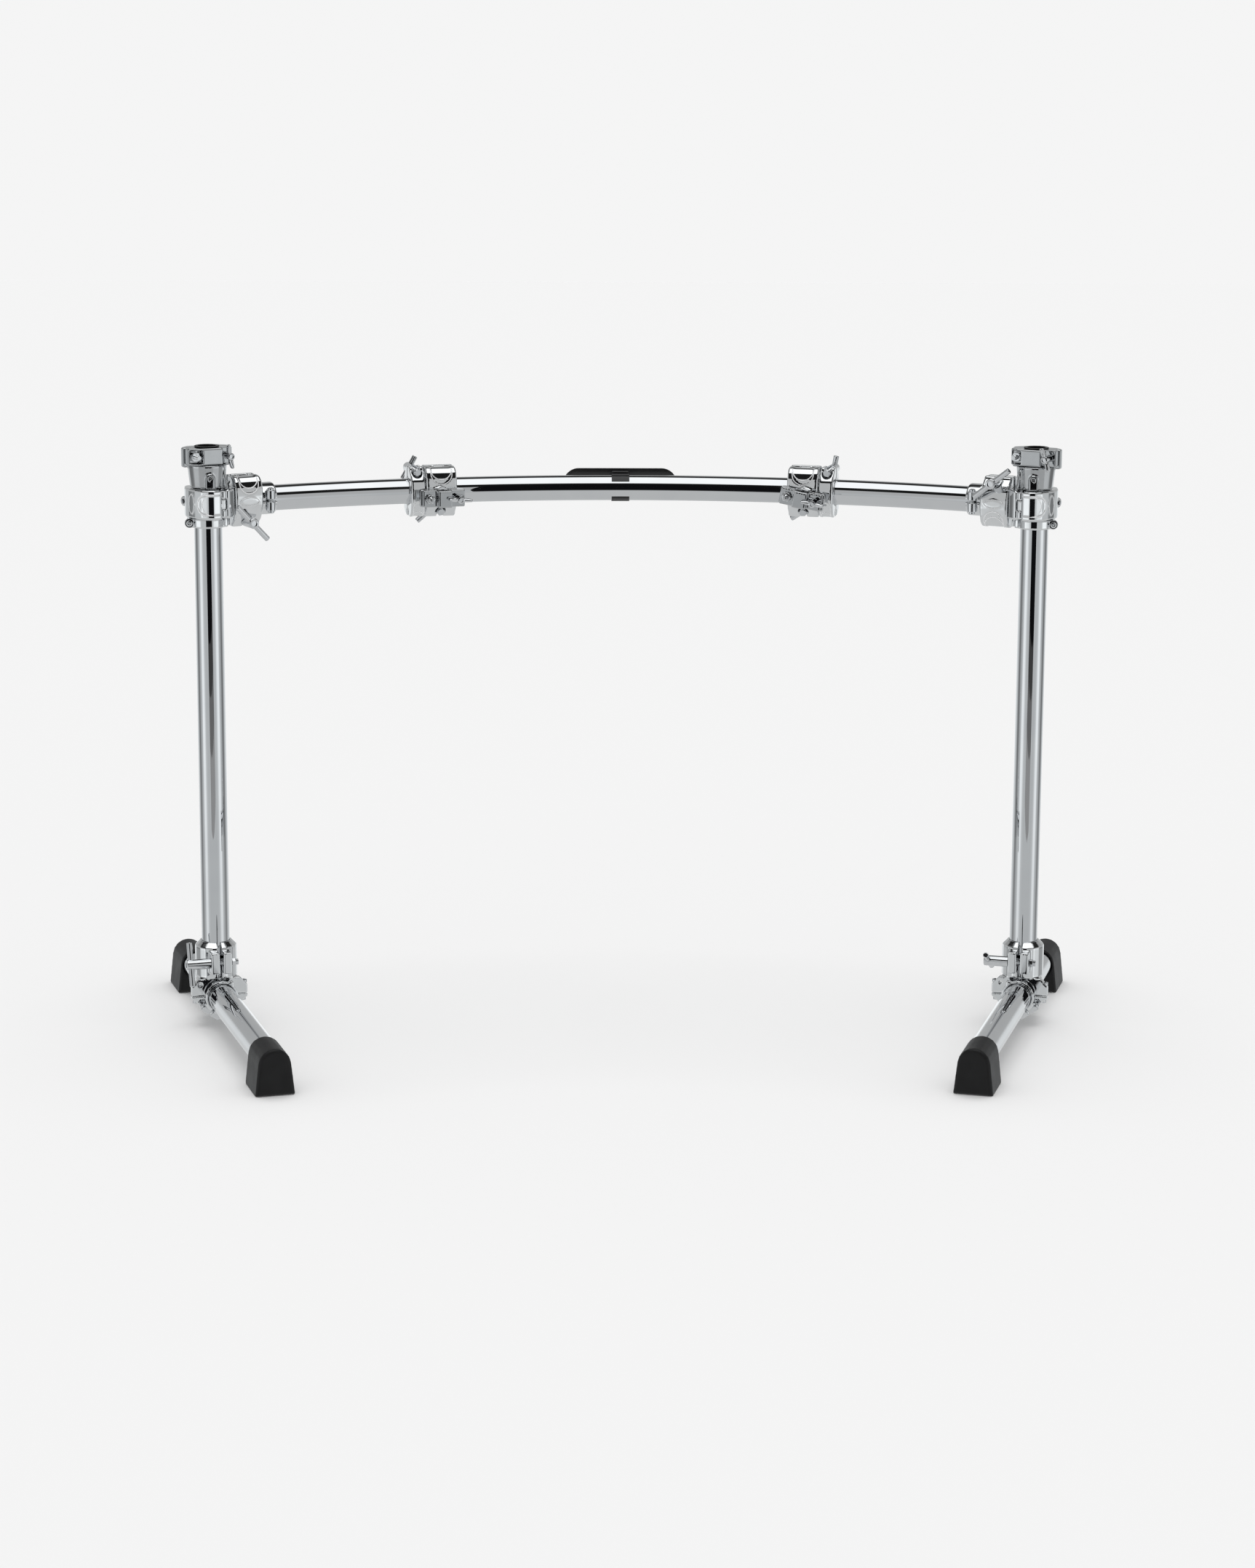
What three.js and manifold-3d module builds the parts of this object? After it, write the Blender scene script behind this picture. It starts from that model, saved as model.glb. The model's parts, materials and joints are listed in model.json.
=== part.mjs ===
import * as THREE from "three";
import { mergeVertices } from "three/addons/utils/BufferGeometryUtils.js";
import Module from "manifold-3d";

// A drum rack frame: two uprights on T-shaped feet, a curved bar between them,
// and the hinged clamps and key-bolt locks that hold the tubes in each other.
// Millimetres, +Z up, the player sits on the -Y side, and left is -X.

const degrees = THREE.MathUtils.degToRad;

// Whole rack
const uprightSpacing = 1118;
const barHeight = 722.5;
const barBendRadius = 1118;
const toeAngle = degrees(16);
const frontReach = 388;
const rearReach = 214;
const legAxisHeight = 40;

// Tubes
const poleDiameter = 38.1;
const poleWall = 2.2;
const barDiameter = 34.9;
const barWall = 2;
const footTubeDiameter = 38.1;
const footTubeWall = 2.2;

// Fits shared by all pieces
const slideFit = 0.35;
const barFit = 0.8;
const seatGap = 0.3;
const overrun = 6;

// Facets
const tubeSides = 18;
const barSides = 18;
const barInnerSides = 8;
const barSteps = 28;
const boreSides = 16;
const screwSides = 8;
const hexSides = 6;
const curveSteps = 4;
const weldShare = 1e-4;

// Hinged ring clamps: halves that close round a tube, hinge on one side and ears on the other
const clampWall = 9.5;
const clampSplit = 3;
const clampBevel = 1.6;
const wallBevel = 1.2;
const crownOffsetShare = 0.25;
const knuckleRadius = 4.6;
const hingePinRadius = 2.2;
const knuckleShare = 0.36;
const hingeCover = 4;
const earReachExtra = 16.5;
const earThickness = 11;
const earRound = 4;
const screwInsetFromEar = 7;
const reliefDepth = 0.8;
const reliefWidthShare = 0.675;
const reliefEndShare = 0.42;
const ovalRise = 0.7;
const ovalLengthShare = 0.68;
const ovalWidth = 11.5;
const ovalOffset = -0.5;

// Corner clamp: one casting with a ring on the upright and a ring on the bar
const poleRingWidth = 40;
const barRingWidth = 40;
const cornerArm = 50;
const poleHingeAngle = degrees(-72);
const armHeightShare = 0.86;
const barEndInset = 3;

// Clamps on the bar that carry accessories
const wideRingWidth = 43;
const narrowRingWidth = 20;
const ringSpacing = 1.6;
const swivelOffset = 3;
const swivelDrop = 4;

// T-handled screws
const rodRadius = 4;
const sleeveRadius = 7.2;
const sleeveDomeShare = 0.35;
const cornerSleeve = 22.5;
const legSleeve = 27;
const crossbarRadius = 3.9;
const longCrossbar = 64;
const middleCrossbar = 61;
const shortCrossbar = 36;
const nutRadius = 5.8;
const nutThickness = 5;

// Key-bolt locks: thin split rings
const lockWall = 4;
const poleLockWidth = 13.5;
const barLockWidth = 22;
const footLockWidth = 16;
const lockSplit = 3;
const lockBossRadius = 6.4;
const lockBossOffset = 0.5;
const lockBossReach = 14;
const keyBoltRadius = 2.4;
const keyBoltHead = 3;
const lockKnuckleRadius = 4;

// Socket on top of each upright, with the rear half of its split collar
const socketBottomRadius = 23.5;
const socketTopRadius = 27;
const socketHeight = 31.5;
const socketPoleDepth = 24;
const socketShelf = 3;
const socketLugWidth = 12;
const socketLugHeight = 20.5;
const socketLugThickness = 4;
const socketLugHoleRadius = 2.4;
const socketRibThickness = 4;
const socketRibReach = 9;
const collarYaw = degrees(27);
const bushingWall = 3.2;
const bushingLip = 1;
const bushingRise = 1.5;

// Split collars: a wide one on each socket and a smaller one on each accessory clamp
const topCollar = {
  bore: 16.2,
  rearHalfWidth: 34,
  jawHalfWidth: 32,
  rearDepth: 20,
  jawDepth: 22,
  corner: 11,
  ear: 11,
  boltOffset: 22.5,
  rearHeight: 27,
  jawHeight: 23,
};
const accessoryCollar = {
  bore: 11.5,
  rearHalfWidth: 31,
  jawHalfWidth: 29,
  rearDepth: 17,
  jawDepth: 20,
  corner: 8,
  ear: 9,
  boltOffset: 19.5,
  rearHeight: 24,
  jawHeight: 23,
};
const collarPocketWall = 2.2;
const collarBackWall = 4;
const boltRadius = 3.2;
const boltHeadRadius = 6.9;
const boltHeadThickness = 6;
const boltTipLength = 11;
const wingHubRadius = 4.8;
const wingReach = 10;
const wingSpan = 33;
const wingThickness = 3;
const wingDepth = 9;
const swivelRadius = 13;
const swivelRise = 3;

// Leg clamp: pinches the upright and holds the foot tube
const legRingWidth = 50;
const legRingShoulder = 7;
const legRingRise = 4.9;
const legRingGap = 5;
const legEarReach = 13;
const legEarThickness = 12;
const legEarHeight = 30;
const legBarrelLength = 46;
const legBarrelWall = 9.5;
const legLobeReach = 39;
const legLobeHeight = 13;
const legShellLip = 4;
const legShellShare = 0.7;
const legPlateThickness = 10;
const legPinHoleRadius = 2;
const legPinHoleRise = 3;

// Rubber feet
const footWidth = 53;
const footHeight = 62.5;
const footLength = 70;
const footTopRadius = 21.8;
const footBevel = 2.5;
const footEndWall = 9;

// Badge plate clipped behind the middle of the bar
const badgeLength = 159;
const badgeHeight = 45.5;
const badgeThickness = 3;
const badgeRise = 1.5;
const clipWidth = 24.5;
const clipThickness = 2.6;
const clipOpening = degrees(62);
const clipTurn = degrees(5);

// Where each side's clamps sit on the bar, and how its handles stand
const sides = {
  left_: {
    side: -1,
    wideRing: degrees(13.03),
    cornerHandle: degrees(47),
    wideHandle: degrees(40),
    narrowHandle: degrees(60),
    legHandle: degrees(-20),
    topWing: degrees(-9),
    accessoryWing: degrees(94),
    accessoryTilt: 0,
    footLock: degrees(235),
    poleLock: degrees(180),
  },
  right_: {
    side: 1,
    wideRing: degrees(13.2),
    cornerHandle: degrees(-38),
    wideHandle: degrees(33),
    narrowHandle: degrees(80),
    legHandle: degrees(62),
    topWing: degrees(-20),
    accessoryWing: degrees(90),
    accessoryTilt: degrees(10),
    footLock: degrees(305),
    poleLock: 0,
  },
};

// Where the curved bar and its clamps lie. The bar ring's axis is the bar's tangent, and it meets the upright's axis.
const cornerDistance = Math.hypot(barBendRadius, cornerArm);
const cornerAngle = Math.asin(uprightSpacing / 2 / cornerDistance) - Math.atan2(cornerArm, barBendRadius);
const bendCentreY = cornerArm * Math.sin(cornerAngle) - barBendRadius * Math.cos(cornerAngle);

const wasm = await Module();
wasm.setup();

const chrome = { color: 0xd3d6d8, roughness: 0.08, metalness: 1 };
const blackRubber = { color: 0x2b2b2c, roughness: 0.8, metalness: 0 };
const blackPlastic = { color: 0x1d1d1f, roughness: 0.5, metalness: 0 };

function solidFrom(geometry) {
  const bare = geometry.clone();
  bare.deleteAttribute("normal");
  bare.deleteAttribute("uv");
  const welded = mergeVertices(bare, weldShare);
  const vertProperties = welded.getAttribute("position").array;
  const triVerts = new Uint32Array(welded.index.array);
  return new wasm.Manifold(new wasm.Mesh({ numProp: 3, vertProperties, triVerts }));
}

function geometryFrom(solid) {
  const { vertProperties, triVerts } = solid.getMesh();
  const geometry = new THREE.BufferGeometry();
  geometry.setAttribute("position", new THREE.BufferAttribute(vertProperties, 3));
  geometry.setIndex(new THREE.BufferAttribute(triVerts, 1));
  geometry.computeVertexNormals();
  return geometry;
}

function joined(...geometries) {
  return geometryFrom(geometries.map(solidFrom).reduce((whole, piece) => whole.add(piece)));
}

function cut(base, ...tools) {
  return geometryFrom(tools.map(solidFrom).reduce((rest, tool) => rest.subtract(tool), solidFrom(base)));
}

function common(first, second) {
  return geometryFrom(solidFrom(first).intersect(solidFrom(second)));
}

// A round rod along Z between two heights.
function rod(radius, from, to, sides = screwSides) {
  return new THREE.CylinderGeometry(radius, radius, to - from, sides)
    .rotateX(Math.PI / 2)
    .translate(0, 0, (from + to) / 2);
}

// A profile of [radius, height] pairs turned round Z.
function turned(profile, sides) {
  const points = profile.map(([radius, height]) => new THREE.Vector2(radius, height));
  if (THREE.ShapeUtils.isClockWise(points)) points.reverse();
  return new THREE.LatheGeometry(points, sides).rotateX(Math.PI / 2);
}

function ring(inner, outer, from, to, sides = tubeSides) {
  return turned([[inner, from], [outer, from], [outer, to], [inner, to], [inner, from]], sides);
}

function block(xFrom, xTo, yFrom, yTo, zFrom, zTo) {
  return new THREE.BoxGeometry(xTo - xFrom, yTo - yFrom, zTo - zFrom)
    .translate((xFrom + xTo) / 2, (yFrom + yTo) / 2, (zFrom + zTo) / 2);
}

function prism(shape, from, to, curveSegments = curveSteps) {
  const options = { depth: to - from, bevelEnabled: false, curveSegments };
  return new THREE.ExtrudeGeometry(shape, options).translate(0, 0, from);
}

// A prism with its two end edges bevelled, whose widest outline is the shape itself.
function bevelledPrism(shape, from, to, bevel) {
  const options = {
    depth: to - from - 2 * bevel,
    bevelThickness: bevel,
    bevelSize: bevel,
    bevelOffset: -bevel,
    bevelSegments: 1,
    curveSegments: curveSteps,
  };
  return new THREE.ExtrudeGeometry(shape, options).translate(0, 0, from + bevel);
}

function outlineOf(points) {
  return new THREE.Shape(points.map(([x, y]) => new THREE.Vector2(x, y)));
}

function oval(centreX, centreY, radiusX, radiusY) {
  const shape = new THREE.Shape();
  shape.absellipse(centreX, centreY, radiusX, radiusY, 0, 2 * Math.PI);
  return shape;
}

function makeMesh(name, geometry, finish) {
  const mesh = new THREE.Mesh(geometry, new THREE.MeshStandardMaterial(finish));
  mesh.name = name;
  return mesh;
}

function groupAt(x, y, z, turn = 0) {
  const group = new THREE.Group();
  group.position.set(x, y, z);
  group.rotation.z = turn;
  return group;
}

// The sizes of a hinged clamp that follow from its tube and its width.
function clampSizes(tubeDiameter, width, fit) {
  const bore = tubeDiameter / 2 + fit;
  const earReach = bore + earReachExtra;
  return {
    bore,
    width,
    outer: bore + clampWall,
    earReach,
    hingeAt: earReach - knuckleRadius,
    screwAt: earReach - screwInsetFromEar,
  };
}

// The jaw half drawn across the bore: hinge at -x with the crown running over it, ears at +x, crown towards -y.
function halfClampOutline(clamp, inset = 0) {
  const half = clampSplit / 2;
  const crown = clamp.outer - inset;
  const hingeSide = clamp.hingeAt - knuckleRadius - seatGap;
  const coverY = -knuckleRadius - seatGap;
  const coverSide = clamp.hingeAt + knuckleRadius - inset;
  const boreX = Math.sqrt(clamp.bore ** 2 - half ** 2);
  const crownX = -clamp.outer * crownOffsetShare;
  const earY = -half - earThickness + inset;
  const shape = new THREE.Shape();
  shape.moveTo(-boreX, -half);
  shape.lineTo(-hingeSide, -half);
  shape.lineTo(-hingeSide, coverY);
  shape.lineTo(-coverSide, coverY);
  shape.lineTo(-coverSide, coverY - hingeCover);
  shape.quadraticCurveTo(-coverSide, -crown, crownX, -crown);
  shape.quadraticCurveTo(clamp.screwAt - sleeveRadius, -crown, clamp.earReach - earRound, earY);
  shape.quadraticCurveTo(clamp.earReach, earY, clamp.earReach, earY + earRound);
  shape.lineTo(clamp.earReach, -half);
  shape.lineTo(boreX, -half);
  shape.absarc(0, 0, clamp.bore, -Math.asin(half / clamp.bore), Math.PI + Math.asin(half / clamp.bore), true);
  return shape;
}

// A half clamp with its crown towards -y: the ring wall, and an ear with a seat and an open slot for the screw.
function halfClamp(clamp) {
  const { width, screwAt, earReach, outer } = clamp;
  const slotHalf = rodRadius + slideFit;
  const shell = bevelledPrism(halfClampOutline(clamp), -width / 2, width / 2, clampBevel);
  const slot = block(screwAt - slotHalf, earReach + overrun, -outer - overrun, 0, -slotHalf, slotHalf);
  const seat = rod(sleeveRadius + slideFit, clampSplit / 2 + earThickness, outer + overrun, boreSides)
    .rotateX(Math.PI / 2)
    .translate(screwAt, 0, 0);
  return cut(shell, slot, seat);
}

// The U-shaped relief that opens towards the hinge, cut to an even depth in the crown.
function crownRelief(clamp) {
  const halfWidth = (clamp.width * reliefWidthShare) / 2;
  const end = -clamp.outer * reliefEndShare;
  const reach = clamp.earReach + overrun;
  const shape = new THREE.Shape();
  shape.moveTo(-reach, -halfWidth);
  shape.lineTo(end - halfWidth, -halfWidth);
  shape.absarc(end - halfWidth, 0, halfWidth, -Math.PI / 2, Math.PI / 2, false);
  shape.lineTo(-reach, halfWidth);
  const tool = prism(shape, knuckleRadius + seatGap, clamp.outer + overrun).rotateX(Math.PI / 2);
  return cut(tool, prism(halfClampOutline(clamp, reliefDepth), -clamp.width, clamp.width));
}

// The bare raised oval in the middle of a jaw.
function crownOval(clamp) {
  const shape = oval(ovalOffset, 0, ovalWidth / 2, (clamp.width * ovalLengthShare) / 2);
  const tool = prism(shape, clamp.bore, clamp.outer + overrun).rotateX(Math.PI / 2);
  return common(tool, prism(halfClampOutline(clamp, -ovalRise), -clamp.width / 2, clamp.width / 2));
}

// One knuckle of the hinge with its web, on the half whose crown is towards -y.
function knuckle(clamp, from, to) {
  const webEnd = -clamp.hingeAt + knuckleRadius + earRound;
  const webDepth = knuckleRadius + hingeCover / 2;
  const web = block(-clamp.hingeAt, webEnd, -webDepth, -clampSplit / 2, from, to);
  return [web, rod(knuckleRadius, from, to).translate(-clamp.hingeAt, 0, 0)];
}

// The knuckle in the middle of the hinge, and the hole for the pin.
function middleKnuckle(clamp) {
  const half = (clamp.width * knuckleShare) / 2;
  const hole = rod(hingePinRadius + slideFit, -clamp.width, clamp.width).translate(-clamp.hingeAt, 0, 0);
  return { solid: joined(...knuckle(clamp, -half, half)), hole };
}

// The two outer knuckles and the pin that is riveted in them, on the half whose crown is towards -y.
function outerKnuckles(clamp) {
  const inner = (clamp.width * knuckleShare) / 2 + seatGap;
  const outer = clamp.width / 2 - clampBevel;
  const pin = rod(hingePinRadius, -outer, outer).translate(-clamp.hingeAt, 0, 0);
  return [pin, ...knuckle(clamp, -outer, -inner), ...knuckle(clamp, inner, outer)];
}

// The half that swings: middle knuckle, and the relief and oval where they show.
function jawGeometry(clamp, { relief = false, badge = false } = {}) {
  const { solid, hole } = middleKnuckle(clamp);
  let jaw = cut(joined(halfClamp(clamp), solid), hole);
  if (relief) jaw = cut(jaw, crownRelief(clamp));
  if (badge) jaw = joined(jaw, crownOval(clamp));
  return jaw;
}

// The half that carries the hinge pin, with its crown towards -y like a jaw.
function pinnedHalfGeometry(clamp, { relief = false } = {}) {
  const half = joined(halfClamp(clamp), ...outerKnuckles(clamp));
  return relief ? cut(half, crownRelief(clamp)) : half;
}

// A half drawn with its crown towards -y, turned over the x axis so that its crown is towards +y.
function turnedOver(geometry) {
  return geometry.rotateX(Math.PI);
}

// A screw with a crossbar handle: the crossbar along X at the origin, the thread towards +Z.
function tScrewGeometry(sleeveLength, grip, crossbarLength) {
  const tip = sleeveLength + grip + nutThickness + rodRadius;
  const shank = turned(
    [
      [0, -crossbarRadius - sleeveRadius * sleeveDomeShare],
      [sleeveRadius * (1 - sleeveDomeShare), -crossbarRadius - sleeveRadius * sleeveDomeShare],
      [sleeveRadius, -crossbarRadius],
      [sleeveRadius, sleeveLength],
      [rodRadius, sleeveLength],
      [rodRadius, tip],
      [0, tip],
    ],
    screwSides,
  );
  const crossbar = rod(crossbarRadius, -crossbarLength / 2, crossbarLength / 2).rotateY(Math.PI / 2);
  const nutFrom = sleeveLength + grip;
  const nut = rod(nutRadius, nutFrom, nutFrom + nutThickness, hexSides);
  return joined(shank, crossbar, nut);
}

// A thin split ring with two bosses and a key bolt through them at +x, and a hinge knuckle at -x.
function lockGeometry(tubeDiameter, width, fit) {
  const bore = tubeDiameter / 2 + fit;
  const outer = bore + lockWall;
  const bossX = outer + lockBossOffset;
  const half = width / 2;
  const bossHalf = Math.min(lockBossRadius, half);
  const band = ring(bore, outer, -half, half);
  const knuckle = rod(lockKnuckleRadius, -half, half).translate(-outer, 0, 0);
  const bossRod = rod(bossHalf, -lockBossReach, lockBossReach).rotateX(Math.PI / 2).translate(bossX, 0, 0);
  const bossWeb = block(bore + lockWall / 2, bossX, -lockBossReach, lockBossReach, -bossHalf, bossHalf);
  const split = block(bore - overrun, bossX + bossHalf + overrun, -lockSplit / 2, lockSplit / 2, -half - overrun, half + overrun);
  const clearBore = rod(bore, -half - overrun, half + overrun, tubeSides);
  const body = cut(joined(band, knuckle, bossRod, bossWeb), split, clearBore);
  const boltReach = lockBossReach + keyBoltHead;
  const bolt = rod(keyBoltRadius, -boltReach, boltReach).rotateX(Math.PI / 2).translate(bossX, 0, 0);
  return joined(body, bolt);
}

// Half of a split collar, drawn from above: the split on the x axis, the front towards -y.
function collarOutline(collar, halfWidth, depth) {
  const boreX = Math.sqrt(collar.bore ** 2 - seatGap ** 2);
  const splitAngle = Math.asin(seatGap / collar.bore);
  const shape = new THREE.Shape();
  shape.moveTo(-boreX, -seatGap);
  shape.lineTo(-halfWidth, -seatGap);
  shape.lineTo(-halfWidth, -depth + collar.corner);
  shape.lineTo(-halfWidth + collar.corner, -depth);
  shape.lineTo(halfWidth - collar.corner, -depth);
  shape.lineTo(halfWidth, -depth + collar.corner);
  shape.lineTo(halfWidth, -seatGap);
  shape.lineTo(boreX, -seatGap);
  shape.absarc(0, 0, collar.bore, -splitAngle, Math.PI + splitAngle, true);
  return shape;
}

function collarBoltHoles(collar, reach, sides = [-1, 1]) {
  return sides.map((side) =>
    rod(boltRadius + slideFit, -reach, reach).rotateX(Math.PI / 2).translate(side * collar.boltOffset, 0, 0),
  );
}

// The front half of a collar, centred on z = 0: a bare ear at the right, and at the left a pocket or a second bare ear.
function collarJawGeometry(collar, { pocketed }) {
  const half = collar.jawHeight / 2;
  const core = Math.sqrt(Math.max(collar.bore ** 2 - collar.ear ** 2, 0)) + collarPocketWall;
  const reach = collar.jawDepth + overrun;
  const front = bevelledPrism(collarOutline(collar, collar.jawHalfWidth, collar.jawDepth), -half, half, wallBevel);
  const pocketEnd = pocketed ? -collar.jawHalfWidth + collarPocketWall : -collar.jawHalfWidth - overrun;
  const pocketHalf = pocketed ? half - collarPocketWall : half + overrun;
  const pocket = block(pocketEnd, -core, -reach, -collar.ear, -pocketHalf, pocketHalf);
  const earRelief = block(core, collar.jawHalfWidth + overrun, -reach, -collar.ear, -half - overrun, half + overrun);
  return cut(front, pocket, earRelief, ...collarBoltHoles(collar, reach));
}

// The rear half of a collar, with its top in line with the top of a jaw that is centred on z = 0.
function collarRearGeometry(collar, holeSides) {
  const top = collar.jawHeight / 2;
  const outline = collarOutline(collar, collar.rearHalfWidth, collar.rearDepth);
  const rear = bevelledPrism(outline, top - collar.rearHeight, top, wallBevel).rotateZ(Math.PI);
  return cut(rear, ...collarBoltHoles(collar, collar.rearDepth - collarBackWall, holeSides));
}

// The hexagon bolt that hinges a collar: its nut bears on the front ear, and its axis runs along y.
function hingeBoltGeometry(collar) {
  const face = collar.ear + seatGap;
  const nut = rod(boltHeadRadius, face, face + boltHeadThickness, hexSides);
  const shank = rod(boltRadius, -collar.rearDepth / 2, face + boltHeadThickness + boltTipLength);
  return joined(nut, shank).rotateX(Math.PI / 2);
}

// The wing screw that closes a collar, its axis along y and its wings upright.
function wingScrewGeometry(collar) {
  const face = collar.ear + seatGap;
  const hubEnd = collar.jawDepth + wingReach;
  const hub = rod(wingHubRadius, face, hubEnd);
  const shank = rod(boltRadius, -collar.rearDepth / 2, face + wingDepth);
  const half = wingSpan / 2;
  const wings = outlineOf([
    [-half, hubEnd + wingThickness],
    [-half, hubEnd - wingThickness],
    [-wingHubRadius, hubEnd - wingDepth],
    [wingHubRadius, hubEnd - wingDepth],
    [half, hubEnd - wingThickness],
    [half, hubEnd + wingThickness],
    [wingHubRadius, hubEnd - wingThickness / 2],
    [-wingHubRadius, hubEnd - wingThickness / 2],
  ]);
  const plate = prism(wings, -wingThickness / 2, wingThickness / 2).rotateX(Math.PI / 2).rotateZ(Math.PI / 2);
  return joined(hub, shank, plate).rotateX(Math.PI / 2);
}

function tubeGeometry(diameter, wall, from, to) {
  return ring(diameter / 2 - wall, diameter / 2, from, to);
}

// The rings, and the heights on the upright that follow from one another
const poleRing = clampSizes(poleDiameter, poleRingWidth, slideFit);
const barRing = clampSizes(barDiameter, barRingWidth, barFit);
const wideRing = clampSizes(barDiameter, wideRingWidth, barFit);
const narrowRing = clampSizes(barDiameter, narrowRingWidth, barFit);
const poleBore = poleRing.bore;

const legBarrelBore = footTubeDiameter / 2 + slideFit;
const legBarrelOuter = legBarrelBore + legBarrelWall;
const legRingFrom = legAxisHeight + footTubeDiameter / 2 + legRingRise;
const legRingTo = legRingFrom + legRingWidth;
const legScrewHeight = (legRingFrom + legRingTo) / 2;
const legRingOuter = poleBore + clampWall;
const legEarEnd = legRingOuter + legEarReach;
const legScrewY = -legEarEnd + screwInsetFromEar;
const legHandleX = -legRingGap / 2 - legEarThickness - seatGap - legSleeve;

const socketFrom = barHeight + poleRingWidth / 2 + seatGap;
const socketTo = socketFrom + socketHeight;
const collarMiddle = socketTo + seatGap + topCollar.jawHeight / 2;
const collarTop = collarMiddle + topCollar.jawHeight / 2;
const poleTop = socketFrom + socketPoleDepth;
const poleBottom = legRingFrom + seatGap;
const bushingFrom = poleTop + seatGap + socketShelf + seatGap;
const accessoryY = -wideRing.outer - swivelRise - seatGap - accessoryCollar.rearDepth;

// The casting that pinches the upright above and holds the foot tube below. The foot tube runs along y.
function legClampBodyGeometry() {
  const shoulder = legRingOuter - legRingShoulder;
  const band = turned(
    [
      [0, legRingFrom],
      [legRingOuter, legRingFrom],
      [legRingOuter, legRingTo - legRingShoulder],
      [shoulder, legRingTo],
      [0, legRingTo],
    ],
    tubeSides,
  );
  const earHalf = legEarHeight / 2;
  const earX = legRingGap / 2 + legEarThickness;
  const ears = block(-earX, earX, -legEarEnd, -poleBore, legScrewHeight - earHalf, legScrewHeight + earHalf);
  const half = legBarrelLength / 2;
  const barrel = rod(legBarrelOuter, -half, half, tubeSides).rotateX(Math.PI / 2).translate(0, 0, legAxisHeight);
  const plate = prism(
    outlineOf([
      [-legLobeReach, legAxisHeight],
      [legLobeReach, legAxisHeight],
      [legLobeReach, legAxisHeight + legLobeHeight],
      [legBarrelOuter, legRingFrom],
      [-legBarrelOuter, legRingFrom],
      [-legLobeReach, legAxisHeight + legLobeHeight],
    ]),
    half - legPlateThickness,
    half,
  ).rotateX(Math.PI / 2);
  const reach = legLobeReach + overrun;
  const lower = block(-reach, reach, -reach, reach, -reach, legAxisHeight + seatGap);
  const bore = rod(legBarrelBore, -reach, reach, tubeSides).rotateX(Math.PI / 2).translate(0, 0, legAxisHeight);
  const poleHole = rod(poleBore, legRingFrom, legRingTo + overrun, tubeSides);
  const gap = block(-legRingGap / 2, legRingGap / 2, -legEarEnd - overrun, 0, legRingFrom, legRingTo + overrun);
  const screwHole = rod(rodRadius + slideFit, -legEarEnd, legEarEnd).rotateY(Math.PI / 2);
  const pinHole = rod(legPinHoleRadius, -reach, reach).rotateX(Math.PI / 2);
  const pinX = -legBarrelOuter + legPinHoleRadius;
  const pinZ = legAxisHeight + legLobeHeight + legPinHoleRise;
  return cut(
    joined(band, ears, barrel, plate),
    lower,
    bore,
    poleHole,
    gap,
    screwHole.translate(0, legScrewY, legScrewHeight),
    pinHole.translate(pinX, 0, pinZ),
  );
}

// The lower shell under the foot tube, with the lobes that its bolts pull up.
function legClampJawGeometry() {
  const half = legBarrelLength / 2;
  const barrel = rod(legBarrelOuter, -half, half, tubeSides).rotateX(Math.PI / 2).translate(0, 0, legAxisHeight);
  const round = legBarrelOuter * legShellShare;
  const plate = prism(
    outlineOf([
      [-legLobeReach, legAxisHeight],
      [-legLobeReach, legAxisHeight - legShellLip],
      [-round, legAxisHeight - round],
      [round, legAxisHeight - round],
      [legLobeReach, legAxisHeight - legShellLip],
      [legLobeReach, legAxisHeight],
    ]),
    half - legPlateThickness,
    half,
  ).rotateX(Math.PI / 2);
  const reach = legLobeReach + overrun;
  const upper = block(-reach, reach, -reach, reach, legAxisHeight - seatGap, legAxisHeight + reach);
  const bore = rod(legBarrelBore, -reach, reach, tubeSides).rotateX(Math.PI / 2).translate(0, 0, legAxisHeight);
  return cut(joined(barrel, plate), upper, bore);
}

// An arched rubber foot. Its bore is open at y = 0 and its closed end is towards +y.
function footGeometry() {
  const centre = footHeight - footTopRadius;
  const lean = Math.asin((footWidth / 2 - footTopRadius) / centre);
  const arch = new THREE.Shape();
  arch.moveTo(-footWidth / 2, 0);
  arch.lineTo(footWidth / 2, 0);
  arch.absarc(0, centre, footTopRadius, lean, Math.PI - lean, false);
  const body = bevelledPrism(arch, 0, footLength, footBevel);
  const bore = rod(legBarrelBore, -overrun, footLength - footEndWall, tubeSides).translate(0, legAxisHeight, 0);
  return cut(body, bore).rotateX(Math.PI / 2).rotateZ(Math.PI);
}

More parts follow.
